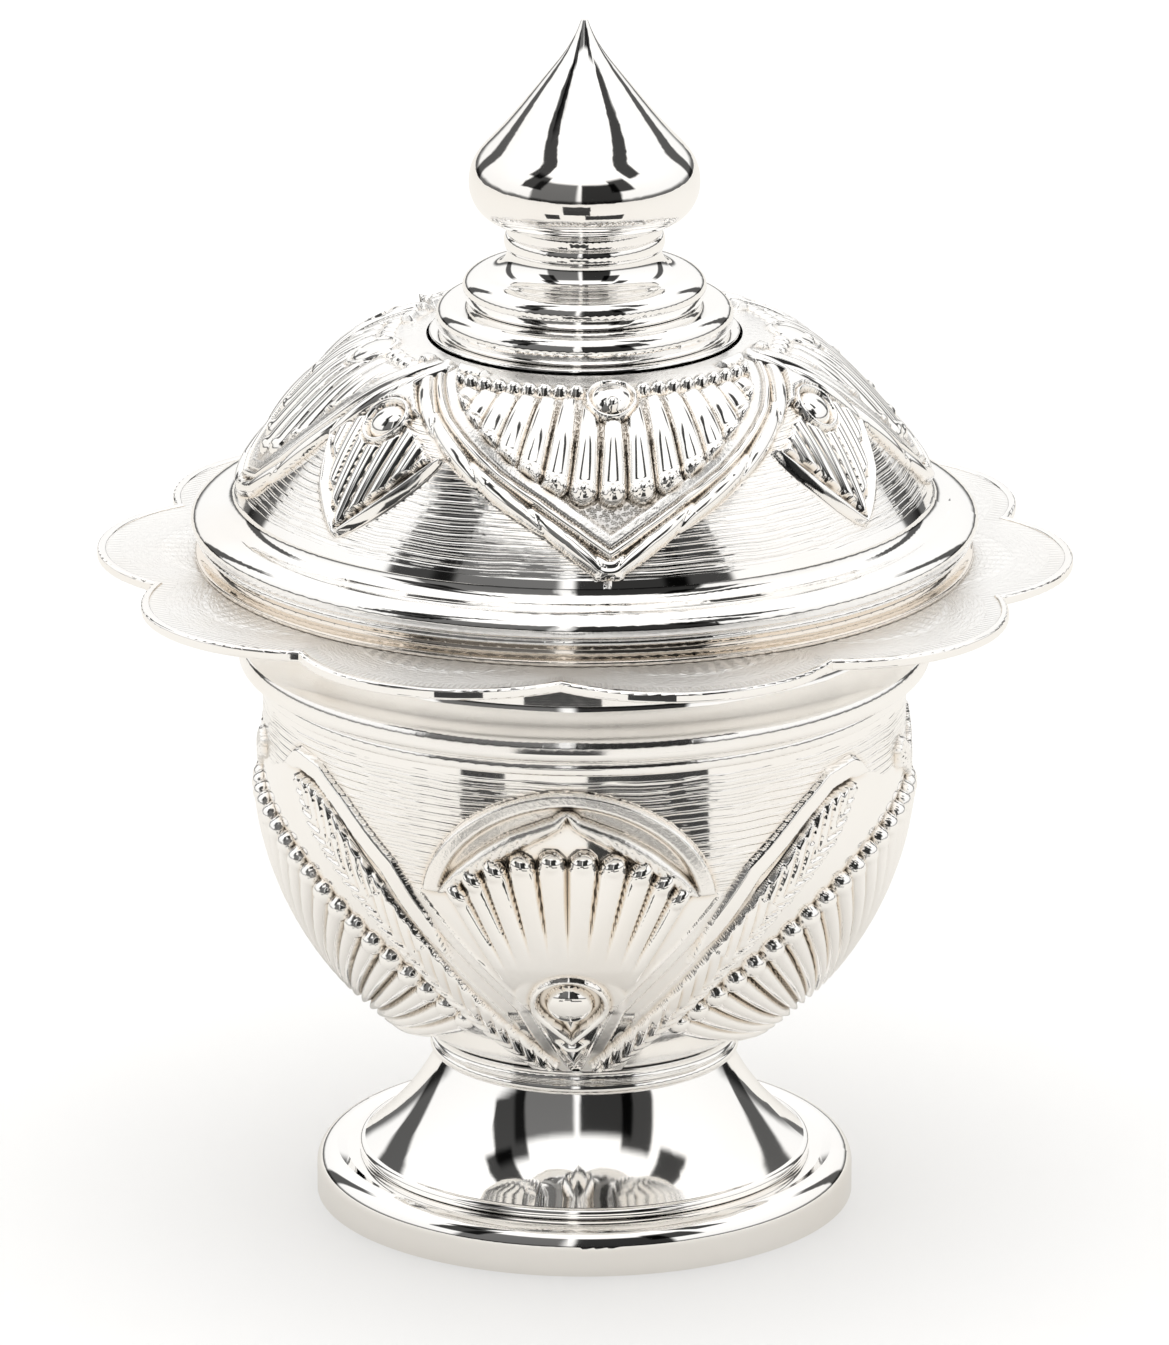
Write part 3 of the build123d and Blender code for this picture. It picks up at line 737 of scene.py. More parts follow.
    def carve_tulip(self, relief: Relief) -> None:
        """Raise the tulip between two bands: stone, calyx, tail flutes and two lance leaves."""
        axis = 51.0 + (relief.course - 1.9) * 0.33
        low = np.interp(relief.angle, [36.0, 43.5, 50.6, 59.5, 66.5], [8.8, 5.0, 1.9, 4.9, 8.6])
        top = 11.6 - 0.012 * (relief.angle - 53.5) ** 2
        flute = (relief.angle - axis) / (0.5 + 0.055 * relief.course)
        body = smooth(0.0, 0.4, relief.course - low) * smooth(0.1, -0.5, relief.course - top)
        relief.raise_to(0.55 * body * np.abs(np.cos(math.pi * flute / 3.6)) ** 0.5)
        relief.plain(body)
        for path, wide in ((self.inner_leaf, 0.72), (self.outer_leaf, 0.58)):
            offset, travelled, whole = relief.along(path)
            share = travelled / whole
            width = wide * np.sqrt(np.clip(4.0 * (share + 0.02) * (1.03 - share), 0.02, 1.0))
            blade = np.clip(1.0 - np.abs(offset) / width, 0.0, 1.0)
            relief.press_to(-0.15, np.abs(offset) < width * 1.35)
            relief.raise_to(0.62 * blade**0.8)
            relief.plain(smooth(1.4, 1.2, np.abs(offset) / width))
        aside, up = relief.spot(*self.stone)
        oval = np.hypot(aside / 1.75, up / 1.8)
        calyx = smooth(1.2, 1.5, up - 0.09 * np.abs(aside) ** 2 + 0.3 * np.abs(aside))
        calyx = calyx * smooth(self.calyx, self.calyx - 0.3, np.abs(aside))
        relief.raise_to(calyx * (0.42 + 0.25 * half_round(aside, self.calyx)))
        relief.plain(calyx)
        relief.press_to(-0.1, oval < 1.15)
        relief.raise_to(0.75 * half_round(oval - 0.97, 0.13))
        relief.raise_to(0.9 * half_round(oval, 0.8))
        relief.plain(smooth(1.25, 1.15, oval))

    def carve_mark(self, relief: Relief) -> None:
        """Raise the two small leaves under the point of the V and score the line round the foot."""
        aside, up = relief.spot(1.2, 0.95)
        line = smooth(0.16, 0.04, np.abs(relief.course - self.score_level))
        relief.height = relief.height - 0.07 * line * (relief.height < 0.05)
        relief.raise_to(0.35 * half_round(np.hypot(aside / 0.5, up / 0.32), 1.0))


# Meshes


@dataclass(frozen=True)
class GridMesh:
    """Builds a closed ring of quads from rows of points, with the surface masks as point attributes."""

    name: str

    def ring(self, rows: np.ndarray, masks: dict[str, np.ndarray]) -> bpy.types.Object:
        """Make the mesh object.

        Args:
            rows: Points in millimetres, as rows along the outline by columns round the axis by 3.
            masks: Value of each attribute at each point, with a row and column for each.

        Returns:
            The new object, linked to the scene and smooth shaded.
        """
        count, columns = rows.shape[:2]
        index = np.arange(count * columns).reshape(count, columns)
        after = np.roll(index, -1, axis=1)
        quads = np.stack([index[:-1], after[:-1], after[1:], index[1:]], axis=-1).reshape(-1, 4)
        return self.make(rows.reshape(-1, 3), quads, {k: v.ravel() for k, v in masks.items()})

    def make(self, points: np.ndarray, quads: np.ndarray, masks: dict[str, np.ndarray]) -> bpy.types.Object:
        """Make an object from points, quads and point values."""
        mesh = bpy.data.meshes.new(self.name)
        mesh.vertices.add(len(points))
        mesh.vertices.foreach_set("co", (points * MM).astype(np.float32).ravel())
        mesh.loops.add(quads.size)
        mesh.loops.foreach_set("vertex_index", quads.astype(np.int32).ravel())
        mesh.polygons.add(len(quads))
        mesh.polygons.foreach_set("loop_start", np.arange(0, quads.size, 4, dtype=np.int32))
        mesh.update(calc_edges=True)
        mesh.validate()
        mesh.polygons.foreach_set("use_smooth", np.ones(len(mesh.polygons), dtype=bool))
        for name, values in masks.items():
            layer = mesh.attributes.new(name, "FLOAT", "POINT")
            layer.data.foreach_set("value", values.astype(np.float32))
        made = bpy.data.objects.new(self.name, mesh)
        bpy.context.scene.collection.objects.link(made)
        return made


def joined(name: str, parts: list[bpy.types.Object]) -> bpy.types.Object:
    """Join mesh objects into one.

    Args:
        name: Name of the result.
        parts: The objects, the first of which is kept.

    Returns:
        The first object, holding the meshes of all.
    """
    with bpy.context.temp_override(active_object=parts[0], selected_editable_objects=parts):
        bpy.ops.object.join()
    parts[0].name = name
    return parts[0]


# Shader node groups and finishes

FLOAT, COLOUR, VECTOR = "NodeSocketFloat", "NodeSocketColor", "NodeSocketVector"
ORIGIN = (0.0, 0.0, 0.0)
FULL_TURN = 2.0 * math.pi


class Wiring:
    """Adds nodes to a node tree and joins them."""

    def __init__(self, tree: bpy.types.NodeTree) -> None:
        self.tree = tree

    def feed(self, socket: bpy.types.NodeSocket, value: object) -> None:
        """Join an input socket to an output, or set its value."""
        if isinstance(value, bpy.types.NodeSocket):
            self.tree.links.new(value, socket)
        else:
            socket.default_value = value

    def node(self, kind: str, **inputs: object) -> bpy.types.Node:
        """Add a node.

        Args:
            kind: Blender's node type.
            **inputs: Socket names, with _ for spaces, and a value or an output socket for each.

        Returns:
            The new node.
        """
        made = self.tree.nodes.new(kind)
        for name, value in inputs.items():
            self.feed(made.inputs[name.replace("_", " ")], value)
        return made

    def math(
        self, operation: str, first: object, second: object = 0.0, clamp: bool = False
    ) -> bpy.types.NodeSocket:
        """Add a Math node and return its output."""
        made = self.tree.nodes.new("ShaderNodeMath")
        made.operation = operation
        made.use_clamp = clamp
        self.feed(made.inputs[0], first)
        self.feed(made.inputs[1], second)
        return made.outputs[0]

    def times(self, first: object, second: object) -> bpy.types.NodeSocket:
        """Multiply two values."""
        return self.math("MULTIPLY", first, second)

    def plus(self, first: object, second: object, clamp: bool = False) -> bpy.types.NodeSocket:
        """Add two values."""
        return self.math("ADD", first, second, clamp)

    def minus(self, first: object, second: object) -> bpy.types.NodeSocket:
        """Subtract the second value from the first."""
        return self.math("SUBTRACT", first, second)

    def noise(self, vector: bpy.types.NodeSocket, scale: float, detail: float) -> bpy.types.NodeSocket:
        """Give a noise texture's value at a place."""
        return self.node("ShaderNodeTexNoise", Vector=vector, Scale=scale, Detail=detail).outputs[0]

    def mix(self, share: object, first: object, second: object) -> bpy.types.NodeSocket:
        """Mix two colours and return the result."""
        made = self.tree.nodes.new("ShaderNodeMix")
        made.data_type = "RGBA"
        factor, colour_a, colour_b, result = 0, 6, 7, 2
        self.feed(made.inputs[factor], share)
        self.feed(made.inputs[colour_a], first)
        self.feed(made.inputs[colour_b], second)
        return made.outputs[result]

    def step(self, value: object, low: float, high: float) -> bpy.types.NodeSocket:
        """Map a value from low..high to 0..1, smoothly."""
        made = self.node("ShaderNodeMapRange", Value=value, From_Min=low, From_Max=high)
        made.interpolation_type = "SMOOTHSTEP"
        return made.outputs[0]

    def read(self, *names: str) -> dict[str, bpy.types.NodeSocket]:
        """Read attributes of the mesh by name."""
        values = {}
        for name in names:
            node = self.tree.nodes.new("ShaderNodeAttribute")
            node.attribute_name = name
            values[name] = node.outputs["Fac"]
        return values

    def use(self, tree: bpy.types.NodeTree, **inputs: object) -> bpy.types.NodeSocket:
        """Place a node group and return its one output."""
        made = self.tree.nodes.new("ShaderNodeGroup")
        made.node_tree = tree
        for name, value in inputs.items():
            self.feed(made.inputs[name], value)
        return made.outputs[0]


def group(name: str, output: tuple[str, str], **ins: object) -> tuple[bpy.types.NodeTree, Wiring, dict]:
    """Start a shader node group.

    Args:
        name: The group's name.
        output: Name and socket type of its output.
        **ins: Each input's default value: a number, 3 numbers for a vector or 4 for a colour.

    Returns:
        The group, its wiring, and its input sockets by name.
    """
    kinds = {1: FLOAT, 3: VECTOR, 4: COLOUR}
    tree = bpy.data.node_groups.new(name, "ShaderNodeTree")
    for title, value in ins.items():
        kind = kinds[len(value) if isinstance(value, tuple) else 1]
        made = tree.interface.new_socket(title, in_out="INPUT", socket_type=kind)
        made.default_value = value
    tree.interface.new_socket(output[0], in_out="OUTPUT", socket_type=output[1])
    entry = tree.nodes.new("NodeGroupInput")
    return tree, Wiring(tree), {title: entry.outputs[title] for title in ins}


def close(tree: bpy.types.NodeTree, **outputs: bpy.types.NodeSocket) -> bpy.types.NodeTree:
    """Join a group's results to its outputs."""
    exit_node = tree.nodes.new("NodeGroupOutput")
    for title, socket in outputs.items():
        tree.links.new(socket, exit_node.inputs[title])
    return tree


class Effects:
    """The node groups that the finishes share."""

    def __init__(self) -> None:
        self.engraved = self.make_engraved()
        self.stipple = self.make_stipple()
        self.polish = self.make_polish()
        self.tint = self.make_tint()
        self.turning = self.make_turning()
        self.hatch = self.make_hatch()

    @staticmethod
    def make_engraved() -> bpy.types.NodeTree:
        """Engraved lines that follow the length along the outline, with a hand-cut wobble."""
        output = ("Height", FLOAT)
        tree, w, given = group("engraved_lines", output, Course=0.0, Pitch=0.6, Wobble=0.1, Point=ORIGIN)
        point = given["Point"]
        slow, fine = w.noise(point, 180.0, 2.0), w.noise(point, 1500.0, 1.0)
        patches = w.noise(point, 320.0, 1.0)
        drift = w.times(w.minus(slow, 0.5), given["Wobble"])
        turns = w.math("DIVIDE", w.plus(given["Course"], drift), given["Pitch"])
        deep = w.step(w.math("COSINE", w.times(turns, FULL_TURN)), 0.2, 0.95)
        light = w.step(w.math("COSINE", w.times(turns, 2.6 * FULL_TURN)), 0.5, 1.0)
        deep = w.times(deep, w.plus(0.45, w.times(w.step(patches, 0.35, 0.6), 0.55)))
        light = w.times(light, w.times(w.step(patches, 0.6, 0.4), 0.35))
        cut = w.times(w.math("MAXIMUM", deep, light), -1.0)
        return close(tree, Height=w.plus(cut, w.times(fine, 0.12)))

    @staticmethod
    def make_stipple() -> bpy.types.NodeTree:
        """Small punched pits."""
        tree, w, given = group("stipple", ("Height", FLOAT), Point=ORIGIN, Scale=4200.0)
        cells = w.node("ShaderNodeTexVoronoi", Vector=given["Point"], Scale=given["Scale"])
        return close(tree, Height=w.step(cells.outputs["Distance"], 0.15, 0.6))

    @staticmethod
    def make_polish() -> bpy.types.NodeTree:
        """Hairline scratches and rubbed patches, as a change of roughness."""
        tree, w, given = group("polish_marks", ("Roughness", FLOAT), Point=ORIGIN, Low=0.03, High=0.1)
        patches, hairs = w.noise(given["Point"], 90.0, 3.0), w.noise(given["Point"], 2600.0, 2.0)
        share = w.step(w.plus(w.times(patches, 0.75), w.times(hairs, 0.25)), 0.35, 0.7)
        span = w.minus(given["High"], given["Low"])
        return close(tree, Roughness=w.plus(given["Low"], w.times(share, span)))

    @staticmethod
    def make_tint() -> bpy.types.NodeTree:
        """Warm tarnish in faint clouds, and painted shade in the hollows: warm brown that goes near black in
        the deepest, standing in for the dark reflections in the gaps.
        """
        bright, warm, dark = (0.97, 0.96, 0.945, 1.0), (0.68, 0.48, 0.25, 1.0), (0.09, 0.075, 0.06, 1.0)
        output = ("Colour", COLOUR)
        tree, w, given = group("tarnish_and_painted_shade", output, Point=ORIGIN, Bright=bright, Warm=warm, Hollow=0.0)
        clouds = w.times(w.step(w.noise(given["Point"], 60.0, 4.0), 0.45, 0.85), 0.12)
        # painted shade: the hollow depth turns the colour warm brown in the recesses
        amount = w.plus(clouds, w.times(given["Hollow"], 0.55), clamp=True)
        tone = w.mix(amount, given["Bright"], given["Warm"])
        # painted shade: the deepest hollows are mixed towards near black, standing in for dark reflections and
        # shadow in the gaps
        return close(tree, Colour=w.mix(w.step(given["Hollow"], 0.55, 1.0), tone, dark))

    @staticmethod
    def make_turning() -> bpy.types.NodeTree:
        """Fine rings left by turning, from the level and the distance from the axis."""
        tree, w, given = group("turning_rings", ("Height", FLOAT), Point=ORIGIN)
        x, y, z = w.node("ShaderNodeSeparateXYZ", Vector=given["Point"]).outputs
        reach = w.math("SQRT", w.plus(w.times(x, x), w.times(y, y)))
        rings_per_metre = 4200.0
        out, up = w.times(reach, rings_per_metre), w.times(z, rings_per_metre)
        place = w.node("ShaderNodeCombineXYZ", X=out, Y=up)
        return close(tree, Height=w.noise(place.outputs[0], 1.0, 3.0))

    @staticmethod
    def make_hatch() -> bpy.types.NodeTree:
        """Short dashes cut across the tray, and a row of radial cuts along its edge."""
        tree, w, given = group("edge_hatch", ("Height", FLOAT), Point=ORIGIN, Along=0.0, Inset=0.0)
        along, inset = given["Along"], given["Inset"]
        cut_pitch = 0.42
        wave = w.math("SINE", w.times(along, FULL_TURN / cut_pitch))
        band = w.times(w.step(inset, 0.1, 0.3), w.step(inset, 1.35, 1.15))
        place = w.node("ShaderNodeCombineXYZ", X=w.times(along, 1.6), Y=w.times(inset, 4.2)).outputs[0]
        ground = w.times(w.minus(1.0, band), w.step(w.noise(place, 1.0, 2.0), 0.42, 0.6))
        return close(tree, Height=w.plus(w.times(wave, w.times(band, 0.7)), w.times(ground, 0.5)))


@dataclass(frozen=True)
class Canvas:
    """A silver material in the making.

    Attributes:
        wiring: Wiring of the material.
        shader: Its Principled shader.
        effects: The shared node groups.
        point: Object coordinates.
        rough: Roughness of the polish.
    """

    wiring: Wiring
    shader: bpy.types.Node
    effects: Effects
    point: bpy.types.NodeSocket
    rough: bpy.types.NodeSocket

    def tint(self, hollow: object) -> bpy.types.NodeSocket:
        """Give the silver's colour with its tarnish and the painted shade in its hollows."""
        return self.wiring.use(self.effects.tint, Point=self.point, Hollow=hollow)

    def join(
        self,
        rough: bpy.types.NodeSocket,
        colour: bpy.types.NodeSocket,
        height: bpy.types.NodeSocket,
        depth: float,
    ) -> None:
        """Join roughness, colour and a bump of a depth in micrometres to the shader."""
        w = self.wiring
        bump = w.node("ShaderNodeBump", Height=height, Distance=depth * MICROMETRE)
        for name, value in (("Roughness", rough), ("Base Color", colour), ("Normal", bump.outputs[0])):
            w.feed(self.shader.inputs[name], value)


@dataclass(frozen=True)
class SilverFinish:
    """A silver finish.

    Attributes:
        name: Material name.
        slot: Slot of the record that it belongs to; not used.
        low: Roughness where the surface is brightest.
        high: Roughness where it is rubbed.
        turned: Depth of the turning rings, in micrometres.
        warm: Strength of the warm tarnish.
    """

    name: str
    slot: Slot
    low: float
    high: float
    turned: float
    warm: float = 0.0

    def make(self, effects: Effects) -> bpy.types.Material:
        """Make the material.

        Args:
            effects: The shared node groups.

        Returns:
            The finished material.
        """
        material = bpy.data.materials.new(self.name)
        material.use_nodes = True
        w = Wiring(material.node_tree)
        shader = material.node_tree.nodes["Principled BSDF"]
        shader.inputs["Metallic"].default_value = 1.0
        point = w.node("ShaderNodeTexCoord").outputs["Object"]
        rough = w.use(effects.polish, Point=point, Low=self.low, High=self.high)
        self.detail(Canvas(w, shader, effects, point, rough))
        return material

    def detail(self, canvas: Canvas) -> None:
        """Add what sets this kind of finish apart."""
        rings = canvas.wiring.use(canvas.effects.turning, Point=canvas.point)
        canvas.join(canvas.rough, canvas.tint(self.warm), rings, self.turned)


@dataclass(frozen=True)
class EmbossedFinish(SilverFinish):
    """Silver with engraved lines, punched ground and frosted parts where the mesh's masks say so, and painted
    shade in its hollows.

    Attributes:
        pitch: Distance between the engraved lines, in millimetres.
        depth: Their depth, in micrometres.
        frosting: Roughness that the frosted and punched parts add.
    """

    pitch: float = 0.6
    depth: float = 60.0
    frosting: float = 0.3

    def detail(self, canvas: Canvas) -> None:
        """Add the lines, the punched ground, the frosting and the painted shade in the hollows, from the
        mesh's masks.
        """
        w, effects, point = canvas.wiring, canvas.effects, canvas.point
        mask = w.read("course", "lines", "stipple", "matte", "hollow")
        frosted = w.plus(w.times(mask["matte"], self.frosting), w.times(mask["stipple"], self.frosting))
        frosted = w.plus(frosted, w.times(mask["lines"], 0.02))
        cut = w.use(effects.engraved, Course=mask["course"], Pitch=self.pitch, Wobble=0.5, Point=point)
        punched = w.times(w.use(effects.stipple, Point=point), 2.2)
        grain = w.times(w.noise(point, 3000.0, 2.0), 0.9)
        height = w.times(cut, mask["lines"])
        height = w.plus(height, w.times(punched, mask["stipple"]))
        height = w.plus(height, w.times(grain, mask["matte"]))
        rough = w.plus(canvas.rough, frosted, clamp=True)
        # the hollow mask paints shade into the recesses through the tint
        canvas.join(rough, canvas.tint(mask["hollow"]), height, self.depth)


@dataclass(frozen=True)
class HatchedFinish(SilverFinish):
    """Silver of the tray, hatched all over.

    Attributes:
        depth: Depth of the cuts, in micrometres.
    """

    depth: float = 45.0

    def detail(self, canvas: Canvas) -> None:
        """Add the cuts, from the distances along and in from the edge that the mesh holds."""
        w = canvas.wiring
        reads = w.read("along", "inset")
        cut = w.use(canvas.effects.hatch, Point=canvas.point, Along=reads["along"], Inset=reads["inset"])
        canvas.join(canvas.rough, canvas.tint(self.warm), cut, self.depth)


class Finishes:
    """All materials of the part."""

    polished = SilverFinish("silver_polished", Slot.POLISHED, 0.03, 0.07, 0.5)
    gilt = SilverFinish("silver_warm_hollow", Slot.POLISHED, 0.05, 0.12, 1.0, warm=0.5)
    satin = SilverFinish("silver_satin", Slot.SATIN, 0.09, 0.15, 1.2)
    bowl = EmbossedFinish("silver_bowl", Slot.EMBOSSED, 0.045, 0.1, 0.0, pitch=0.62, depth=52.0)
    dome = EmbossedFinish("silver_dome", Slot.EMBOSSED, 0.045, 0.1, 0.0, pitch=0.6, depth=58.0)
    hatched = HatchedFinish("silver_hatched", Slot.HATCHED, 0.36, 0.48, 0.0)
    brass = SilverFinish("plated_brass", Slot.BRASS, 0.15, 0.3, 8.0, warm=0.6)

    def __init__(self, effects: Effects) -> None:
        self.effects = effects
        self.made: dict[str, bpy.types.Material] = {}

    def get(self, finish: SilverFinish) -> bpy.types.Material:
        """Return the finish's material, made once."""
        if finish.name not in self.made:
            self.made[finish.name] = finish.make(self.effects)
        return self.made[finish.name]

    def put(self, piece: bpy.types.Object, finish: SilverFinish) -> None:
        """Give a piece one finish all over."""
        piece.data.materials.clear()
        piece.data.materials.append(self.get(finish))


# Sub-assemblies

BLUR_CELLS = 9  # width over which the relief is blurred to find its hollows
HOLLOW_DEPTH = 0.3  # depth in millimetres at which a hollow gets its full painted shade
BACK_EVERY = 3  # the inside of the sheet has every third row and column


def blur(line: np.ndarray, mode: str) -> np.ndarray:
    """Average a line of heights over BLUR_CELLS cells, with its ends wrapped round or held."""
    return np.convolve(np.pad(line, BLUR_CELLS // 2, mode=mode), np.ones(BLUR_CELLS) / BLUR_CELLS, "valid")


def embossed_shell(
    name: str,
    profile: BowlProfile | DomeProfile,
    courses: np.ndarray,
    quarter: Relief,
    turn: float,
    lean: float,
    wall: float,
) -> bpy.types.Object:
    """Mirror a quarter of ornament round the axis and wrap it on the outline, with the inside of the sheet.

    Args:
        name: Name of the new object.
        profile: Outline that carries the ornament.
        courses: Lengths along the outline, one for each row.
        quarter: Ornament from 0 to 90 degrees.
        turn: Angle of the ornament's middle from the front, in degrees.
        lean: Degrees that the ornament leans for each millimetre along the outline.
        wall: Thickness of the sheet in millimetres.

    Returns:
        The shell.
    """

    def whole(part: np.ndarray) -> np.ndarray:
        half = np.concatenate([part, part[:, -2::-1]], axis=1)
        return np.concatenate([half, half[:, -2:0:-1]], axis=1)

    height = whole(quarter.height)
    columns = height.shape[1]
    angles = np.arange(columns) * 360.0 / columns + turn
    radius, level, out, up = (v[:, None] for v in profile.place(courses))
    around = np.radians(angles[None, :] + lean * courses[:, None])

    def wrap(offset: np.ndarray) -> np.ndarray:
        reach = radius + out * offset
        return np.stack([reach * np.sin(around), -reach * np.cos(around), level + up * offset], axis=-1)

    blurred = height
    for axis, mode in ((1, "wrap"), (0, "edge")):
        blurred = np.apply_along_axis(blur, axis, blurred, mode)
    # hollow: how far each point lies below its blurred surroundings; the tint paints shade there
    hollow = np.clip((blurred - height) / HOLLOW_DEPTH, 0.0, 1.0) ** 1.3
    masks = {
        "course": np.broadcast_to(courses[:, None], height.shape),
        "lines": whole(quarter.lines),
        "stipple": whole(quarter.stipple),
        "matte": whole(quarter.matte),
        "hollow": hollow,
    }
    outside = GridMesh(name).ring(wrap(height), masks)
    rows = np.unique(np.append(np.arange(0, len(courses), BACK_EVERY), len(courses) - 1))
    back = wrap(height - wall)[np.ix_(rows, np.arange(0, columns, BACK_EVERY))][::-1]
    plain = {key: np.full(back.shape[:2], 0.6 if key == "matte" else 0.0) for key in masks}
    inside = GridMesh(name + "_back").ring(back, plain)
    return joined(name, [outside, inside])


def quarter_grid(
    profile: BowlProfile | DomeProfile, length: float, widest: float, step: float
) -> tuple[np.ndarray, Relief]:
    """Lay a plain grid over a quarter of a turned sheet.

    Args:
        profile: Outline of the sheet.
        length: Length of the outline, in millimetres.
        widest: The sheet's widest radius, in millimetres.
        step: Size of the grid's cells, in millimetres.

    Returns:
        The lengths along the outline, and the relief to carve.
    """
    step = step * 1.0
    courses = np.linspace(0.0, length, int(length / step))
    angles = np.linspace(0.0, SIDE, int(widest * math.pi / 2.0 / step))
    angle, course = np.meshgrid(angles, courses)
    return courses, Relief(angle, course, profile.place(course)[0])


@dataclass
class Bowl:
    """The embossed bowl.

    Attributes:
        step: Size of the grid's cells, in millimetres.
        wall: Thickness of the sheet, in millimetres.
        hole: Radius left open at the bottom, under the collar, in millimetres.
    """

    step: float = 0.13
    wall: float = 0.6
    hole: float = 0.05

    def build(self) -> bpy.types.Object:
        """Raise the ornament and wrap it on the bowl."""
        profile = BowlProfile.from_frame()
        length = profile.wall + profile.radius * math.pi / 2.0 - self.hole
        courses, quarter = quarter_grid(profile, length, profile.radius, self.step)
        BowlOrnament().carve(quarter, profile)
        return embossed_shell("bowl_embossed", profile, courses, quarter, 0.0, 0.0, self.wall)

    def dress(self, finishes: Finishes) -> None:
        """Build, finish and place the bowl."""
        made = self.build()
        finishes.put(made, finishes.bowl)
        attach(made, Body.BOX.value)
        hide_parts("bowl")
        LOG.info("bowl: %d vertices", len(made.data.vertices))


@dataclass
class Dome:
    """The embossed dome of the lid.

    Attributes:
        step: Size of the grid's cells, in millimetres.
        wall: Thickness of the sheet, in millimetres.
    """

    step: float = 0.12
    wall: float = 0.6

    def build(self) -> bpy.types.Object:
        """Raise the ornament and wrap it on the dome."""
        profile = DomeProfile.from_frame()
        courses, quarter = quarter_grid(profile, profile.length(), profile.foot_radius, self.step)
        ornament = DomeOrnament()
        ornament.carve(quarter)
        turn = LID_TURN + FOOT_SHIFT
        return embossed_shell("dome_embossed", profile, courses, quarter, turn, ornament.lean, self.wall)

    def dress(self, finishes: Finishes) -> None:
        """Build, finish and place the dome."""
        made = self.build()
        finishes.put(made, finishes.dome)
        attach(made, Body.LID.value)
        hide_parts("lid_dome")
        LOG.info("dome: %d vertices", len(made.data.vertices))


@dataclass
class Tray:
    """The petal tray with its hatching.

    Attributes:
        petals: Number of petals.
        tip: Radius of the petals' tips inside the edge wire, in millimetres.
        notch: Radius of the notches there.
        bore: Radius of the hole through the plate.
        columns: Columns of faces for one petal.
        rows: Rows of faces from the bore to the edge.
        leaf_foot: Radius at which the low leaves start, in millimetres.
        leaf_rise: Their height, in millimetres.
        leaf_length: Their reach outward in a petal's middle, in millimetres.
        leaf_curve: How fast their outer edge falls back beside it, per millimetre.
        flute_pitch: Distance between their flutes, in millimetres.
    """

    petals: int = 10
    tip: float = 35.5
    notch: float = 32.1
    bore: float = 22.0
    columns: int = 96
    rows: int = 80
    leaf_foot: float = 28.8
    leaf_rise: float = 0.1
    leaf_length: float = 2.9
    leaf_curve: float = 0.055
    flute_pitch: float = 1.1

    def edge(self, share: np.ndarray) -> np.ndarray:
        """Radius of a petal's arc at an angle from its middle.

        Args:
            share: Angle from the petal's middle in half petals, from -1 to 1.

        Returns:
            Radius of the arc there, in millimetres.
        """
        half = math.pi / self.petals
        end = np.array([self.notch * math.cos(half), self.notch * math.sin(half)])
        centre = (self.tip**2 - self.notch**2) / (2.0 * (self.tip - end[0]))
        radius = self.tip - centre
        angle = share * half
        return centre * np.cos(angle) + np.sqrt(radius**2 - (centre * np.sin(angle)) ** 2)

    def build(self) -> bpy.types.Object:
        """Make the tray, petal by petal."""
        low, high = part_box("petal_tray")
        bottom, top = low[2] / MM, high[2] / MM
        share = np.linspace(-1.0, 1.0, self.columns + 1)[None, :]
        depth = np.linspace(0.0, 1.0, self.rows + 1)[:, None]
        edge = self.edge(share)
        reach = self.bore + (edge - self.bore) * depth
        half = math.pi / self.petals
        along = np.broadcast_to(share * half * (self.tip - 2.0), reach.shape)
        inset = (edge - reach) * np.cos(share * 0.5)
        leaf = self.leaf_height(share, reach)
        parts = []
        for petal in range(self.petals):
            angle = np.broadcast_to(half * (2 * petal + 1 + share), reach.shape)
            for level, lift, back in ((top, leaf, False), (bottom, leaf, True)):
                rows = np.stack([reach * np.sin(angle), -reach * np.cos(angle), level + lift], axis=-1)
                masks = {"along": along, "inset": inset}
                parts.append(self.patch(f"petal_{petal}", rows, masks, back))
        return joined("petal_tray_hatched", parts)

    def leaf_height(self, share: np.ndarray, reach: np.ndarray) -> np.ndarray:
        """Low fluted leaves round the mouth ring, in millimetres."""
        aside = np.abs(share) * math.pi / self.petals * reach
        out = reach - self.leaf_foot
        arch = self.leaf_length - self.leaf_curve * aside**2 - out
        flutes = 0.6 + 0.4 * np.cos(aside * FULL_TURN / self.flute_pitch)
        leaf = self.leaf_rise * smooth(0.0, 0.5, arch) * smooth(-0.3, 0.0, out) * flutes
        return leaf * smooth(0.8, 0.2, -out)

    @staticmethod
    def patch(name: str, rows: np.ndarray, masks: dict[str, np.ndarray], back: bool) -> bpy.types.Object:
        """Make one side of one petal."""
        count, columns = rows.shape[:2]
        index = np.arange(count * columns).reshape(count, columns)
        corners = [index[:-1, :-1], index[1:, :-1], index[1:, 1:], index[:-1, 1:]]
        quads = np.stack(corners if back else corners[::-1], axis=-1).reshape(-1, 4)
        return GridMesh(name).make(rows.reshape(-1, 3), quads, {k: v.ravel() for k, v in masks.items()})

    def dress(self, finishes: Finishes) -> None:
        """Build, finish and place the tray."""
        made = self.build()
        finishes.put(made, finishes.hatched)
        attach(made, Body.BOX.value)
        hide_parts("petal_tray")
        LOG.info("tray: %d vertices", len(made.data.vertices))


@dataclass
class TurnedRings:
    """The turned pieces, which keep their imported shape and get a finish.

    Attributes:
        satin: Nodes with a satin finish.
        warm: Nodes with a warm tarnish.
        brass: Nodes of plated brass. All others are polished.
    """

    satin: tuple[str, ...] = ("bowl_collar", "lid_collar", "shoulder_ring")
    warm: tuple[str, ...] = ("mouth_ring",)
    brass: tuple[str, ...] = ("knob_stud", "knob_washer", "knob_nut")

    def dress(self, finishes: Finishes) -> None:
        """Give each carried-over node its finish."""
        for name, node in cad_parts.items():
            if name in self.satin:
                finish = finishes.satin
            elif name in self.warm:
                finish = finishes.gilt
            elif name in self.brass:
                finish = finishes.brass
            else:
                finish = finishes.polished
            finishes.put(node, finish)
            LOG.info("node %s: %s", name, finish.name)


# Stage


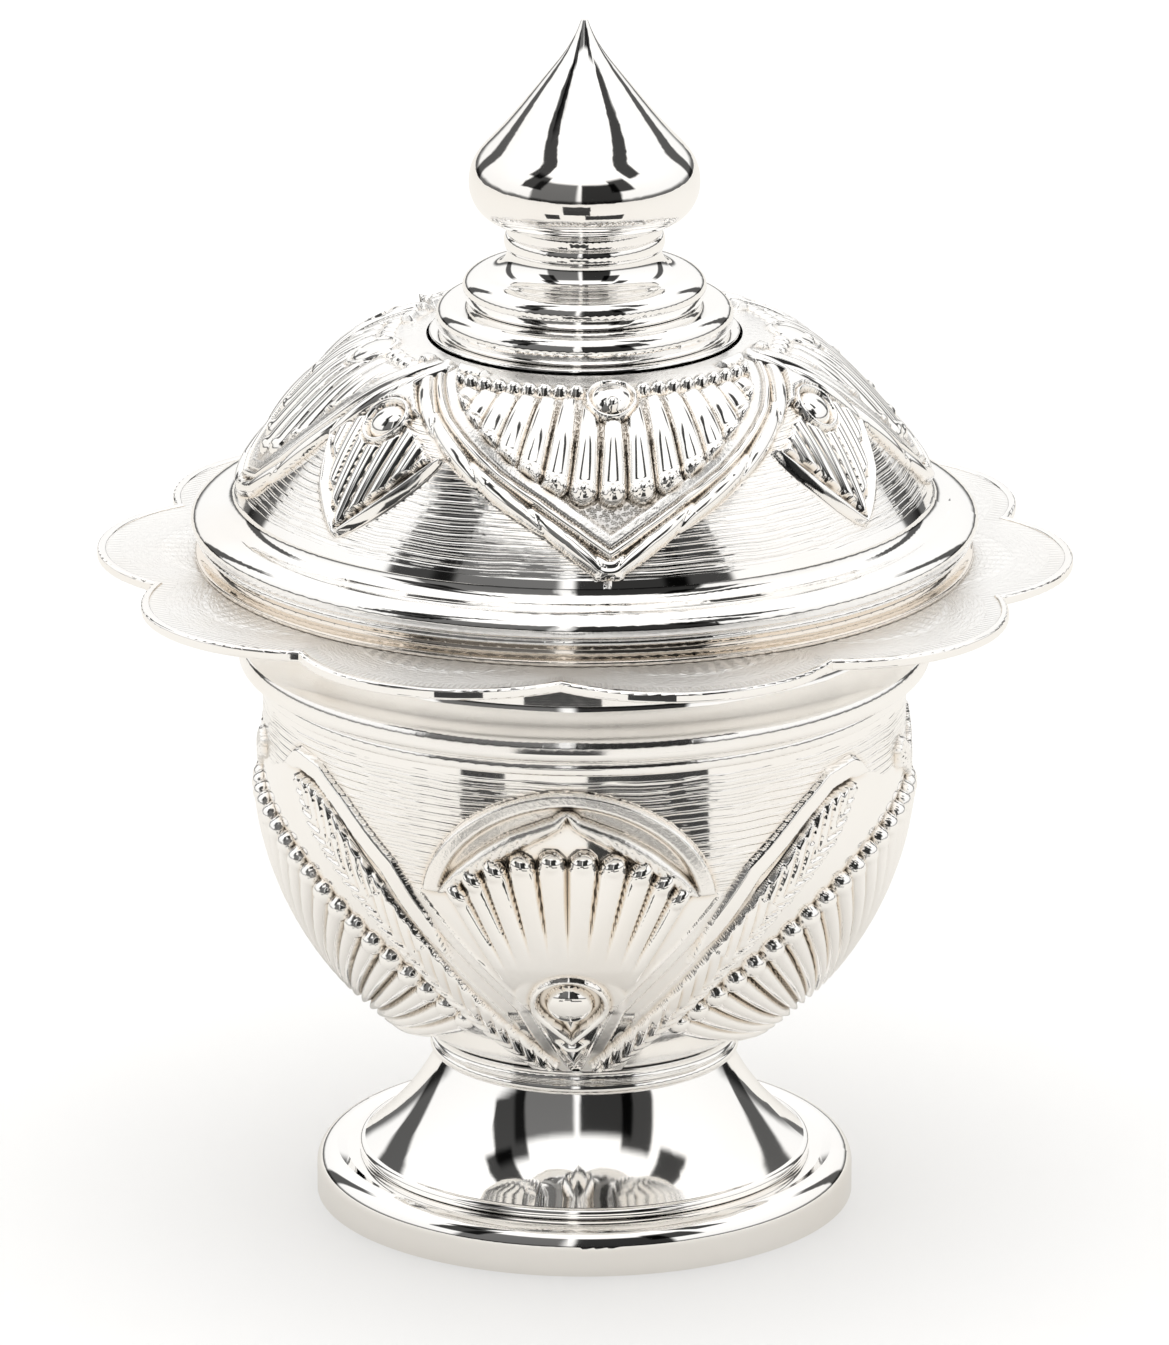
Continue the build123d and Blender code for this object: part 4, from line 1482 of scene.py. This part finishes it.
@dataclass(frozen=True)
class Strip:
    """A dark or bright strip of the studio, as a part of the sky.

    Attributes:
        middle: Angle from the camera's side, in degrees, positive to its right.
        half: Half the strip's width, in degrees.
        soft: Width of its soft edge, in degrees.
        low: Lowest elevation, in degrees.
        high: Highest elevation, in degrees.
        depth: How much light it takes away, from 0 to 1.
    """

    middle: float
    half: float
    soft: float
    low: float
    high: float
    depth: float


@dataclass
class Studio:
    """Floor, sky with dark strips, soft lights and the camera.

    Attributes:
        aim: Point that the middle of the picture shows, in metres.
        elevation: The camera's angle above level, in degrees.
        azimuth: The camera's angle from the front towards +X, in degrees.
        distance: Distance from the aim, in metres.
        focal_pixels: Focal length in pixels of the photograph.
        photo_width: Width of the photograph in pixels.
        horizon_light: Strength of the sky at the horizon, as the silver reflects it.
        zenith_gain: What it gains towards the zenith.
        even_light: Strength of the sky in view and for matte surfaces.
        strips: Dark strips of the sky.
        cards: First and last angle in degrees, and nearest and farthest reach in metres, of each black card.
        lamps: For each soft light its name, place, size in metres and power in watts.
    """

    aim: tuple[float, float, float] = (0.0, 0.0, 0.04016)
    elevation: float = 17.5
    azimuth: float = 3.0
    distance: float = 0.88725
    focal_pixels: float = 12000.0
    photo_width: float = 1169.0
    horizon_light: float = 1.0
    zenith_gain: float = 0.25
    even_light: float = 1.1
    strips: tuple[Strip, ...] = (
        Strip(17.5, 19.5, 3.0, -90.0, 44.0, 0.97),
        Strip(-32.5, 21.5, 4.0, -90.0, 44.0, 0.85),
        Strip(42.0, 11.0, 3.0, 27.0, 50.0, 0.95),
        Strip(-60.0, 11.0, 3.0, 27.0, 52.0, 0.95),
        Strip(72.0, 9.0, 3.0, 50.0, 72.0, 0.95),
        Strip(-70.0, 9.0, 3.0, 50.0, 72.0, 0.95),
        Strip(136.0, 5.0, 3.0, -90.0, 35.0, 0.9),
        Strip(-136.0, 5.0, 3.0, -90.0, 35.0, 0.9),
        Strip(0.0, 181.0, 1.0, -3.0, 2.5, 0.85),
    )
    cards: tuple[tuple[float, float, float, float], ...] = (
        (-21.0, 6.0, 0.156, 0.7),
        (1.0, 41.0, 0.1, 0.153),
        (-41.0, -26.0, 0.1, 0.153),
    )
    lamps: tuple[tuple[str, tuple[float, float, float], float, float], ...] = (
        ("top", (0.0, -0.1, 0.9), 0.6, 0.35),
        ("left", (-0.8, -0.5, 0.5), 0.4, 0.12),
    )

    def place_camera(self) -> None:
        """Put the camera where the photograph was taken from."""
        data = bpy.data.cameras.new("camera")
        data.sensor_fit = "HORIZONTAL"
        data.sensor_width = 36.0
        data.lens = self.focal_pixels / self.photo_width * data.sensor_width
        data.clip_start = 0.05
        data.clip_end = 20.0
        camera = bpy.data.objects.new("camera", data)
        bpy.context.scene.collection.objects.link(camera)
        around, up = math.radians(self.azimuth), math.radians(self.elevation)
        back = Vector((math.sin(around) * math.cos(up), -math.cos(around) * math.cos(up), math.sin(up)))
        camera.location = Vector(self.aim) + back * self.distance
        camera.rotation_mode = "QUATERNION"
        camera.rotation_quaternion = (-back).to_track_quat("-Z", "Y")
        bpy.context.scene.camera = camera

    def lay_floor(self) -> None:
        """Lay a plain pale floor."""
        reach = 6.0
        corners = [(x * reach, y * reach, 0.0) for x, y in ((-1, -1), (1, -1), (1, 1), (-1, 1))]
        floor, w, shader = self.make_sheet("floor", corners, [(0, 1, 2, 3)], 0.7)
        in_view = w.node("ShaderNodeLightPath").outputs["Is Camera Ray"]
        tone = w.mix(in_view, (0.83, 0.81, 0.775, 1.0), (0.97, 0.97, 0.97, 1.0))
        w.feed(shader.inputs["Base Color"], tone)
        shader.inputs["Specular IOR Level"].default_value = 0.1

    def lay_card(self) -> None:
        """Lay a black card on the floor before the box, which only the silver's reflections show."""
        corners, faces = [], []
        for low, high, near, far in self.cards:
            steps = np.radians(np.linspace(low, high, 9) + self.azimuth)
            start = len(corners)
            for reach in (near, far):
                corners += [(reach * math.sin(a), -reach * math.cos(a), 0.001) for a in steps]
            faces += [(start + k, start + k + 1, start + k + 10, start + k + 9) for k in range(8)]
        card, _, shader = self.make_sheet("black_card", corners, faces, 0.9)
        shader.inputs["Base Color"].default_value = (0.02, 0.02, 0.02, 1.0)
        card.visible_camera = card.visible_diffuse = card.visible_shadow = False

    @staticmethod
    def make_sheet(
        name: str, corners: list[tuple[float, float, float]], faces: list[tuple[int, ...]], rough: float
    ) -> tuple[bpy.types.Object, Wiring, bpy.types.Node]:
        """Make a flat object with a material of its own.

        Args:
            name: Name of the object, its mesh and its material.
            corners: Its points, in metres.
            faces: Its faces, as numbers of points.
            rough: Roughness of the material.

        Returns:
            The object, and the wiring and Principled shader of its material.
        """
        mesh = bpy.data.meshes.new(name)
        mesh.from_pydata(corners, [], faces)
        made = bpy.data.objects.new(name, mesh)
        bpy.context.scene.collection.objects.link(made)
        material = bpy.data.materials.new(name)
        material.use_nodes = True
        mesh.materials.append(material)
        shader = material.node_tree.nodes["Principled BSDF"]
        shader.inputs["Roughness"].default_value = rough
        return made, Wiring(material.node_tree), shader

    def light_sky(self) -> None:
        """Light the scene from a white sky with dark strips that the silver reflects."""
        world = bpy.data.worlds.new("studio")
        world.use_nodes = True
        bpy.context.scene.world = world
        tree = world.node_tree
        w = Wiring(tree)
        heading = w.node("ShaderNodeTexCoord").outputs["Generated"]
        x, y, z = w.node("ShaderNodeSeparateXYZ", Vector=heading).outputs
        degrees = 180.0 / math.pi
        around = w.minus(w.times(w.math("ARCTAN2", x, w.times(y, -1.0)), degrees), self.azimuth)
        rise = w.times(w.math("ARCSINE", z), degrees)
        light = w.plus(self.horizon_light, w.times(w.step(rise, 0.0, 80.0), self.zenith_gain))
        for strip in self.strips:
            off = w.math("ABSOLUTE", w.minus(around, strip.middle))
            off = w.math("MINIMUM", off, w.math("ABSOLUTE", w.minus(off, 360.0)))
            wide = w.step(off, strip.half + strip.soft, strip.half)
            above = w.step(rise, strip.low - 4.0, strip.low)
            tall = w.times(above, w.step(rise, strip.high + 6.0, strip.high))
            light = w.times(light, w.minus(1.0, w.times(w.times(wide, tall), strip.depth)))
        ray = w.node("ShaderNodeLightPath")
        even = w.math("MAXIMUM", ray.outputs["Is Camera Ray"], ray.outputs["Is Diffuse Ray"])
        light = w.math("MAXIMUM", light, w.times(even, self.even_light))
        background = tree.nodes["Background"]
        background.inputs["Color"].default_value = (1.0, 0.995, 0.985, 1.0)
        tree.links.new(light, background.inputs["Strength"])

    def hang_lights(self) -> None:
        """Hang soft lights over the object and on its left, which its reflections don't show."""
        for name, place, size, power in self.lamps:
            data = bpy.data.lights.new(name, "AREA")
            data.shape = "SQUARE"
            data.size = size
            data.energy = power
            light = bpy.data.objects.new(name, data)
            bpy.context.scene.collection.objects.link(light)
            light.location = Vector(place)
            light.visible_glossy = False
            light.rotation_mode = "QUATERNION"
            light.rotation_quaternion = (Vector(self.aim) - Vector(place)).to_track_quat("-Z", "Y")

    def build(self) -> None:
        """Set up the whole stage."""
        self.lay_floor()
        self.lay_card()
        self.light_sky()
        self.hang_lights()
        self.place_camera()
        bpy.context.scene.view_settings.view_transform = "Standard"
        LOG.info("studio ready")


def main() -> None:
    """Build every piece."""
    logging.basicConfig(level=logging.INFO, format="%(name)s: %(message)s")
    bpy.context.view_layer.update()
    finishes = Finishes(Effects())
    Studio().build()
    TurnedRings().dress(finishes)
    Bowl().dress(finishes)
    Dome().dress(finishes)
    Tray().dress(finishes)


if __name__ == "__main__":
    main()
